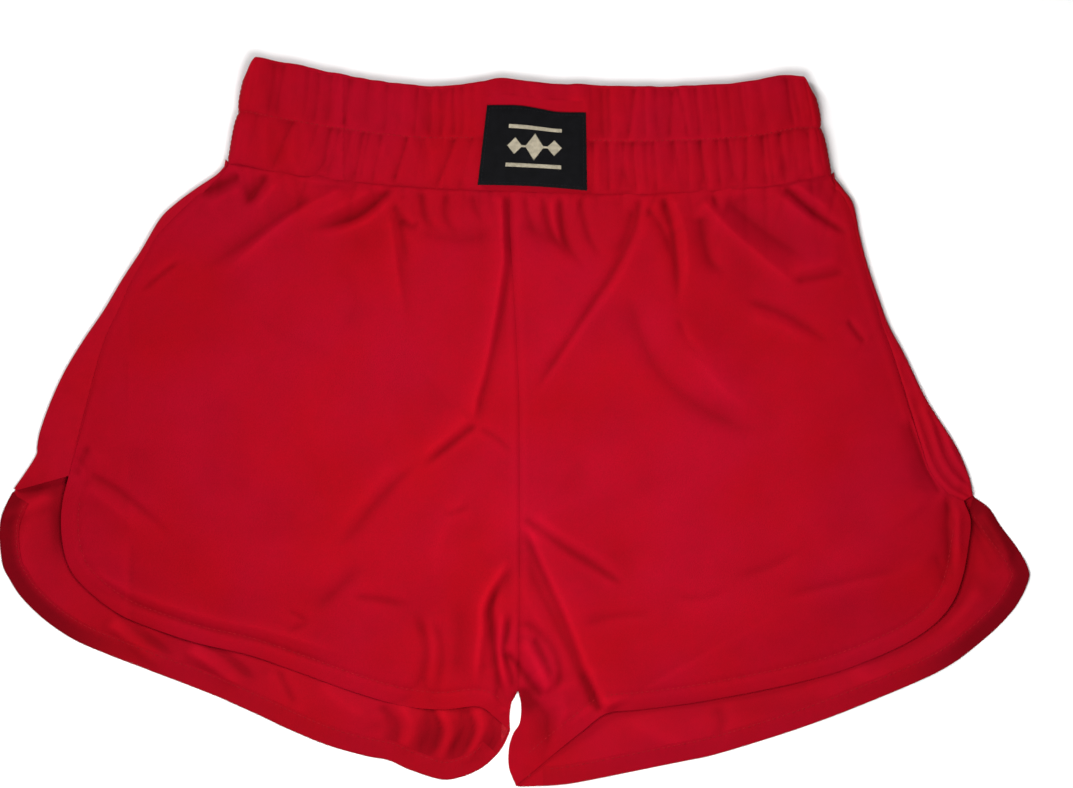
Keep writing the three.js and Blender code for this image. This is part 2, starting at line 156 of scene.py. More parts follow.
def noise(x, y, cell, seed):
    """Smooth random height from -1 to 1: lattice values blended by a quintic that is level at both ends."""
    table = np.random.default_rng(seed).uniform(-1, 1, (64, 64))
    fx, fy = x / cell + 512, y / cell + 512
    ix, iy = np.floor(fx).astype(int), np.floor(fy).astype(int)
    tx, ty = (t**3 * (t * (6 * t - 15) + 10) for t in (fx - ix, fy - iy))
    ix, iy = ix % 63, iy % 63
    low = mix(table[ix, iy], table[ix + 1, iy], tx)
    high = mix(table[ix, iy + 1], table[ix + 1, iy + 1], tx)
    return mix(low, high, ty)


def soften(z, passes=1):
    """Each height becomes half itself and a quarter of each neighbour, along both directions in turn."""
    for _ in range(passes):
        for axis in (0, 1):
            ends = np.concatenate([z.take([0], axis), z, z.take([-1], axis)], axis)
            size = z.shape[axis]
            z = (ends.take(range(size), axis) + 2 * z + ends.take(range(2, size + 2), axis)) / 4
    return z


def to_line(x, y, line):
    """Distance to a polyline, how far along it the nearest place is, and 1 on its left or -1 on its right."""
    start, step = line[:-1], np.diff(line, axis=0)
    dx = x.ravel()[:, None] - start[:, 0]
    dy = y.ravel()[:, None] - start[:, 1]
    length2 = (step**2).sum(1)
    share = np.clip((dx * step[:, 0] + dy * step[:, 1]) / length2, 0, 1)
    away2 = (dx - share * step[:, 0]) ** 2 + (dy - share * step[:, 1]) ** 2
    pick = away2.argmin(1)
    rows = np.arange(len(pick))
    side = np.sign(step[pick, 0] * dy[rows, pick] - step[pick, 1] * dx[rows, pick])
    along = (pick + share[rows, pick]) / len(step)
    return [a.reshape(x.shape) for a in (np.sqrt(away2[rows, pick]), along, side)]


def folds(x, y, drawn):
    """Sum of ridges and creases. Each is a bell across its line, with its own width on the left and on the
    right, faded towards each end, less a low wide bell so that the cloth beside it turns the other way. A
    fold with hardly any fade at its start runs on past it."""
    z = np.zeros_like(x)
    run_on, widths_reached = 9, 9
    for points, height, left, right, fade_in, fade_out in drawn:
        if fade_in < 0.05:
            first, second = np.array(points[0], float), np.array(points[1], float)
            points = [tuple(first + run_on * (first - second) / np.linalg.norm(first - second)), *points]
        line = spline(points, 60)
        reach = widths_reached * max(left, right)
        near = (x > line[:, 0].min() - reach) & (x < line[:, 0].max() + reach)
        near &= (y > line[:, 1].min() - reach) & (y < line[:, 1].max() + reach)
        if not near.any():
            continue
        away, along, side = to_line(x[near], y[near], line)
        width = np.where(side > 0, left, right)
        bell = np.exp(-((away / width) ** 1.3)) - 0.36 * np.exp(-((away / (3.6 * width)) ** 2))
        fade = smooth(0, max(fade_in, 1e-3), along) * smooth(0, max(fade_out, 1e-3), 1 - along)
        z[near] += height * bell * np.maximum(fade, 0)
    return z


# ---------- making meshes ----------
SHARP_ANGLE = math.radians(72)


def new_object(name, vertices, faces, material, painted_light=None):
    """Object at the origin from points in millimetres on the lay."""
    mesh = bpy.data.meshes.new(name)
    mesh.from_pydata(((vertices + SHIFT) * MM).tolist(), [], [list(face) for face in faces])
    mesh.polygons.foreach_set("use_smooth", np.ones(len(mesh.polygons), bool))
    if painted_light is not None:
        layer = mesh.attributes.new("painted_light", "FLOAT", "POINT")
        layer.data.foreach_set("value", np.ascontiguousarray(painted_light, np.float32))
    mesh.materials.append(material)
    mesh.update()
    mesh.set_sharp_from_angle(angle=SHARP_ANGLE)
    obj = bpy.data.objects.new(name, mesh)
    bpy.context.scene.collection.objects.link(obj)
    return obj


def grid_normals(grid):
    """Unit normals of a grid, from the cross product of its two directions."""
    normal = np.cross(np.gradient(grid, axis=0), np.gradient(grid, axis=1))
    return normal / np.maximum(np.linalg.norm(normal, axis=2, keepdims=True), 1e-9)


def shell(name, grid, thickness, material, painted_light=None):
    """Closed cloth: the grid moved half a thickness each way along its normals, joined round the rim."""
    nu, nv = grid.shape[:2]
    normal = grid_normals(grid)
    vertices = np.vstack([
        (grid + normal * thickness / 2).reshape(-1, 3),
        (grid - normal * thickness / 2).reshape(-1, 3),
    ])
    index = np.arange(nu * nv).reshape(nu, nv)
    a, b, c, d = (index[:-1, :-1], index[1:, :-1], index[1:, 1:], index[:-1, 1:])
    face = np.stack([a, b, c, d], -1).reshape(-1, 4)
    back = face[:, ::-1] + nu * nv
    rim = np.concatenate([index[:, 0], index[-1, 1:], index[-2::-1, -1], index[0, -2:0:-1]])
    after = np.roll(rim, -1)
    wall = np.stack([after, rim, rim + nu * nv, after + nu * nv], -1)
    painted_lights = None if painted_light is None else np.tile(painted_light.ravel(), 2)
    return new_object(name, vertices, np.vstack([face, back, wall]), material, painted_lights)


def blurred(z, reach):
    """Mean over a square of grid points, from running sums."""
    size = 2 * reach + 1
    padded = np.pad(z, reach, mode="edge")
    total = np.pad(padded, ((1, 0), (1, 0))).cumsum(0).cumsum(1)
    inside = total[size:, size:] - total[:-size, size:] - total[size:, :-size] + total[:-size, :-size]
    return inside / size**2


def fold_shade_and_highlight(grid, narrow=0.95, wide=3.3):
    """How far each point lies above or below its neighbours, from 1 on a ridge to -1 in a crease, painted on
    the cloth as shade in creases and highlight on ridges. It adds the difference from a narrow mean and, held
    lower, the one from a wide mean."""
    z = grid[..., 2]
    near = (z - blurred(z, 2)) / narrow
    far = np.clip((blurred(z, 2) - blurred(blurred(z, 8), 6)) / wide, -0.5, 0.5)
    return np.clip(near + far, -1, 1)


def painted_shading(grid, hollow_shade):
    """Painted fold shade and highlight, less a soft spot of painted shade for every hollow: a bell with its
    own reach across and up.
    """
    painted_light = fold_shade_and_highlight(grid)
    for x, y, across, upward, depth in hollow_shade:
        painted_light -= depth * np.exp(-(((grid[..., 0] - x) / across) ** 2) - ((grid[..., 1] - y) / upward) ** 2)
    return np.clip(painted_light, -1, 1)


def thread_bars(name, start, end, material, width, height):
    """Short rounded threads from each start to its end, dipping at both ends: a ring of six points at each of
    five stations, closed by a fan."""
    centre, along = (start + end) / 2, end - start
    length = np.linalg.norm(along, axis=1)[:, None, None]
    along /= np.linalg.norm(along, axis=1, keepdims=True)
    across = np.cross([0, 0, 1.0], along)
    across /= np.linalg.norm(across, axis=1, keepdims=True)
    upward = np.cross(along, across)
    stations = [(-0.5, 0.3, -0.6), (-0.36, 0.9, -0.1), (0, 1, 0.15), (0.36, 0.9, -0.1), (0.5, 0.3, -0.6)]
    sides = 6
    turns = [k * math.tau / sides for k in range(sides)]
    bar = np.array([[x, r * width / 2 * math.cos(turn), (r / 2 * math.sin(turn) + dip) * height]
                    for x, r, dip in stations for turn in turns])[None]
    vertices = centre[:, None] + along[:, None] * bar[..., :1] * length
    vertices = vertices + across[:, None] * bar[..., 1:2] + upward[:, None] * bar[..., 2:]
    top = (len(stations) - 1) * sides
    quads = [[i + k, i + sides + k, i + sides + (k + 1) % sides, i + (k + 1) % sides]
             for i in range(0, top, sides) for k in range(sides)]
    fan = range(1, sides - 1)
    caps = [[0, k, k + 1] for k in fan] + [[top, top + k + 1, top + k] for k in fan]
    first = (np.arange(len(centre)) * len(stations) * sides)[:, None, None]
    faces = []
    for part in (quads, caps):
        faces += (np.array(part)[None, :, ::-1] + first).reshape(-1, len(part[0])).tolist()
    return new_object(name, vertices.reshape(-1, 3), faces, material)


def stitches(name, line, material, pitch=STITCH_PITCH, length=2.2, width=0.42, height=0.3):
    """Row of single stitches laid end to end along a line."""
    run = run_length(line)
    at = np.arange(pitch / 2, run[-1] - pitch / 2, pitch)
    start, end = (read_along(line, run, at + step) for step in (-length / 2, length / 2))
    return thread_bars(name, start, end, material, width, height)


# ---------- materials ----------
def colour(code):
    """Linear colour from an sRGB hex code."""
    parts = [int(code[i:i + 2], 16) / 255 for i in (0, 2, 4)]
    return (*(c / 12.92 if c <= 0.04045 else ((c + 0.055) / 1.055) ** 2.4 for c in parts), 1.0)


def add_node(tree, kind, inputs=None, **settings):
    """Add a node with its settings; an input is a value or the socket that feeds it."""
    node = tree.nodes.new(kind)
    for key, value in settings.items():
        setattr(node, key, value)
    for key, value in (inputs or {}).items():
        socket = node.inputs[key]
        if isinstance(value, bpy.types.NodeSocket):
            tree.links.new(value, socket)
        else:
            socket.default_value = value
    return node


def new_material(name):
    """Empty material, its tree and the place in the object that its patterns are read at."""
    material = bpy.data.materials.new(name)
    material.use_nodes = True
    tree = material.node_tree
    tree.nodes.clear()
    return material, tree, add_node(tree, "ShaderNodeTexCoord").outputs["Object"]


def cloud(tree, where, scale, detail=2.0, **more):
    """Soft random pattern."""
    inputs = {"Vector": where, "Scale": scale, "Detail": detail, **more}
    return add_node(tree, "ShaderNodeTexNoise", inputs).outputs[0]


def ranged(tree, value, low, high, new_low, new_high):
    """Value stretched from one range to another and held inside it."""
    inputs = {0: value, 1: low, 2: high, 3: new_low, 4: new_high}
    return add_node(tree, "ShaderNodeMapRange", inputs).outputs[0]


def blended(tree, amount, under, over, kind="MIX"):
    """Two colours blended by an amount."""
    inputs = {0: amount, 6: under, 7: over}
    return add_node(tree, "ShaderNodeMix", inputs, data_type="RGBA", blend_type=kind).outputs[2]


def bumped(tree, height, strength, relief, **under):
    """Normal pushed by a height pattern, relief millimetres deep, over another normal if there is one."""
    inputs = {"Height": height, "Strength": strength, "Distance": relief * MM, **under}
    return add_node(tree, "ShaderNodeBump", inputs).outputs[0]


def shaded_by(tree, base, rough, specular, normal, **more):
    """Principled surface on the material's output."""
    shader = add_node(tree, "ShaderNodeBsdfPrincipled", {
        "Base Color": base, "Roughness": rough, "Specular IOR Level": specular, "Normal": normal, **more})
    add_node(tree, "ShaderNodeOutputMaterial", {0: shader.outputs[0]})


def weave_height(tree, where, warp_mm, weft_mm):
    """Plain weave: the product of a wave across the warp and one across the weft, so threads rise in turn."""
    split = add_node(tree, "ShaderNodeSeparateXYZ", {0: where})
    waves = []
    for axis, pitch in ((0, warp_mm), (1, weft_mm)):
        turn = add_node(tree, "ShaderNodeMath", {0: split.outputs[axis], 1: math.pi / (pitch * MM)},
                        operation="MULTIPLY")
        waves.append(add_node(tree, "ShaderNodeMath", {0: turn.outputs[0]}, operation="SINE").outputs[0])
    return add_node(tree, "ShaderNodeMath", {0: waves[0], 1: waves[1]}, operation="MULTIPLY").outputs[0]


def woven_cloth(name, body, painted_shade_colour, light):
    """Plain-woven polyester: a soft dull face, finely crinkled, with painted shade in creases and a painted
    highlight along ridges, and slow changes of colour from dye and handling."""
    weave_pitch, weave_relief, crinkle_relief, rough = 0.7, 0.05, 0.64, 0.8
    material, tree, where = new_material(name)
    fleck = cloud(tree, where, 260.0, 4.0)
    painted_light = add_node(tree, "ShaderNodeAttribute", attribute_name="painted_light").outputs["Fac"]
    dye = ranged(tree, cloud(tree, where, 14.0, 3.0), 0.35, 0.65, 0.0, 0.7)
    base = blended(tree, dye, colour(body), colour(light))
    base = blended(tree, 1.0, base, ranged(tree, fleck, 0.3, 0.7, 0.97, 1.03), "MULTIPLY")
    # painted shade: the colour is darkened in creases, where the fold relief is below 0
    base = blended(tree, ranged(tree, painted_light, 0.0, -1.0, 0.0, 0.75), base, colour(painted_shade_colour))
    # painted highlight: the colour is lightened on ridges, where the fold relief is above 0
    base = blended(tree, 1.0, base, ranged(tree, painted_light, 0.0, 1.0, 1.0, 1.3), "MULTIPLY")
    threads = bumped(tree, weave_height(tree, where, weave_pitch, weave_pitch), 0.35, weave_relief)
    crinkle = cloud(tree, where, 95.0, 5.0, Roughness=0.55)
    rub = ranged(tree, fleck, 0.3, 0.7, rough - 0.06, rough + 0.06)
    shaded_by(tree, base, rub, 0.02, bumped(tree, crinkle, 0.14, crinkle_relief, Normal=threads), **{
        "IOR": 1.5, "Sheen Weight": 0.03, "Sheen Roughness": 0.5, "Sheen Tint": colour("c8142a")})
    return material


def twisted_thread(name, body, pitch=0.5):
    """Spun polyester sewing thread: slanted ply lines and a slight gloss."""
    material, tree, where = new_material(name)
    slant = add_node(tree, "ShaderNodeMapping", {"Vector": where, "Rotation": (0, 0, math.radians(38))})
    ply = weave_height(tree, slant.outputs[0], pitch, pitch * 6)
    tint = ranged(tree, cloud(tree, where, 400.0), 0.3, 0.7, 0.8, 1.15)
    base = blended(tree, 1.0, colour(body), tint, "MULTIPLY")
    shaded_by(tree, base, 0.6, 0.06, bumped(tree, ply, 0.5, 0.08), **{"Sheen Weight": 0.02})
    return material


def damask_label(name, body, rib=0.45, gloss=0.6, shine=0.04):
    """Damask weave of labels and tapes: fine crosswise ribs of filament yarn with a satin face."""
    material, tree, where = new_material(name)
    ribs = weave_height(tree, where, rib, rib * 0.8)
    slub = ranged(tree, cloud(tree, where, 220.0, 3.0), 0.3, 0.7, 0.75, 1.3)
    base = blended(tree, 1.0, colour(body), slub, "MULTIPLY")
    shaded_by(tree, base, gloss, shine, bumped(tree, ribs, 0.5, 0.08), **{"Sheen Weight": 0.02})
    return material


def floor_board(name, body):
    """Matt painted board: plain and pale, with the faintest grain."""
    material, tree, where = new_material(name)
    shaded_by(tree, colour(body), 0.9, 0.1, bumped(tree, cloud(tree, where, 300.0), 0.05, 0.1))
    return material


# The third colour of each cloth is its painted shade, blended in where creases lie.
RED_CLOTH = woven_cloth("woven_polyester_red", "880411", "5a0207", "87051b")
RED_INSIDE = woven_cloth("woven_polyester_red_inside", "8b0512", "560208", "8b061b")
RED_HEM = woven_cloth("woven_polyester_red_hem", "850511", "480207", "850519")
RED_THREAD = twisted_thread("spun_polyester_thread_red", "890815")
BLACK_THREAD = twisted_thread("spun_polyester_thread_black", "101013")
BLACK_WEAVE = damask_label("woven_damask_label_black", "070709")
BEIGE_THREAD = twisted_thread("filament_thread_beige", "968e7c", pitch=0.4)
ELASTIC = damask_label("knitted_elastic_webbing_white", "e6e2da", rib=1.1, gloss=0.8, shine=0.2)
SATIN = damask_label("woven_satin_tape_white", "efeeea", rib=0.5, gloss=0.35, shine=0.5)

# ---------- the waistband's lines ----------
seam_sag = reader([(-1, 17), (-0.8, 10.5), (-0.4, 4), (0, 1.2), (0.3, 0), (0.5, 0.8), (0.8, 4), (1, 10)])
top_slack = reader([(-1, -1.5), (-0.85, 0), (-0.7, -1.8), (-0.48, -4), (-0.33, -3.4), (-0.18, -0.2),
                    (-0.1, 2.6), (0.04, 0.6), (0.26, 0), (0.62, -1.8), (0.8, -1.9), (0.92, -1.5), (1, -5)])


def waist_y(along, up):
    """Height on the table: the seam's sag plus a share of the band's own height there."""
    return WAIST_Y + seam_sag(along) + up * (WAIST_HEIGHT + top_slack(along))


def hip_turn(path):
    """Angle turned round the hip, from 0 on the straight to a quarter turn at the side."""
    return np.clip((np.abs(path) - HALF_STRAIGHT) / LOOP_RADIUS, 0, math.pi / 2)


def waist_point(path, up, radius, side):
    """Place on the flattened loop: straight to the hip, then a quarter turn. Path is millimetres along the
    face from the middle, radius is from the loop's middle line, side is 1 for the front, -1 for the back."""
    half = mix(WAIST_SEAM_HALF, WAIST_TOP_HALF, up)
    along = np.clip(path / HALF_STRAIGHT, -1, 1)
    turn = hip_turn(path) * np.sign(path)
    x = WAIST_X + along * (half - LOOP_RADIUS) + radius * np.sin(turn)
    z = LOOP_RADIUS + side * radius * np.cos(turn)
    return np.stack(np.broadcast_arrays(x, waist_y(along, up), z), -1)


def corner_drop(path, up):
    """How far the band's top corners sink at the hips: the fifth power of the height up the band, times a
    squared sine round the hip."""
    return -8.0 * up ** 5 * np.sin(hip_turn(path)) ** 2


def seam_share(x):
    """Share of the way from the middle of the waist seam to a hip, -1 to 1."""
    return np.clip((x - WAIST_X) / (WAIST_SEAM_HALF - LOOP_RADIUS), -1, 1)


# ---------- the legs' lines, as places on the table ----------
# fold is the side edge of the lay, seam the side seam, tip the row of the back hem that lies furthest out
RISE = [(-3, 128), (-3, 110), (-0.5, 68), (1, 40), (2.2, 12), (2.5, -50), (2.5, -99), (1.5, -150)]
LEGS = {
    "right": dict(
        side=-1,
        tip=3,
        fold=[(-162, 144), (-167, 138.6), (-179.5, 130.2), (-190.7, 121.8), (-199, 113.4), (-209, 96.6),
              (-220, 79.8), (-230, 63), (-241.6, 46), (-251.7, 29.4), (-259.6, 12.6), (-265.7, -4.2),
              (-267.5, -13), (-268, -18), (-273.5, -27), (-280.5, -37)],
        seam=[(-159.5, 143.6), (-176, 128), (-196, 108.5), (-205, 96), (-214, 79), (-222, 62), (-230, 44),
              (-236.5, 21), (-242, 0), (-246, -16), (-249, -29)],
        front_hem=[(-249, -31), (-253, -43), (-254, -60), (-251, -77), (-244, -89), (-230, -101.5),
                   (-216, -110), (-196, -117.5), (-177, -123.5), (-149, -130), (-121, -139.7), (-93, -149.8),
                   (-65, -158), (-42, -160.6), (-21, -158.8), (-11.5, -165), (-3, -172.5)],
        back_hem=[(-280.5, -37), (-285, -45), (-288.4, -54.6), (-289, -65.8), (-287, -80), (-283, -88),
                  (-277.5, -96.6), (-269.6, -105), (-259.6, -113.4), (-246, -122), (-227.6, -130),
                  (-205, -138.6), (-183, -147), (-163, -155), (-143, -164), (-126, -172), (-105, -180.6),
                  (-84, -186.5), (-71, -189), (-60, -194), (-42.3, -199.6), (-31, -198.6), (-20, -194),
                  (-13, -188.5), (-7.5, -182), (-3, -173)],
        inseam=[(1.5, -150), (-2, -156), (-3.2, -164), (-3, -172.5)],
    ),
    "left": dict(
        side=1,
        tip=5,
        fold=[(178, 137), (183.4, 130.2), (189, 121.8), (192.4, 105), (196.8, 88), (202.4, 71.4),
              (208.6, 54.6), (217.6, 37.8), (229.9, 12.6), (246, -12.6), (253.4, -29.4), (256, -41)],
        seam=[(175.8, 136.4), (186.5, 119), (190, 104), (194.5, 88), (199.5, 71), (204.5, 54.6),
              (210.5, 37.8), (218.5, 12.6), (226, -11.5), (231.5, -27), (240, -38), (250.5, -44)],
        front_hem=[(251, -45), (254.5, -55), (253, -70), (250, -86), (245, -99.4), (236, -111), (221, -122),
                   (198.5, -132.6), (173.3, -141.5), (136.9, -149.8), (97.7, -157), (70, -160.5),
                   (51.2, -162.5), (38, -172), (25, -182.5), (12, -193.5), (0.5, -203)],
        back_hem=[(256, -41), (265, -47.5), (272, -58), (281, -70), (287, -81), (287.2, -89), (278.6, -105),
                  (261.8, -121.8), (238.3, -138.6), (200.2, -155.4), (159.3, -171), (114.5, -185), (92, -190),
                  (47.3, -199), (25, -202.8), (0.5, -203.8)],
        inseam=[(1.5, -150), (3.2, -158), (2.4, -168), (-1.2, -174), (-3.6, -182), (-3.6, -193),
                (0.5, -203.4)],
    ),
}
# grid points: along the front's hem, up the middle, up the inseam, along the back's hem, round the side
PANEL_U, PANEL_V, INSEAM_V, BACK_U, WRAP_U = 206, 228, 38, 176, 26
FLOOR_FRONT = 2.1  # the front's lowest height, clear of the back
SEAM_UNDER = 0.35  # depth of the seam allowance under the waistband's foot

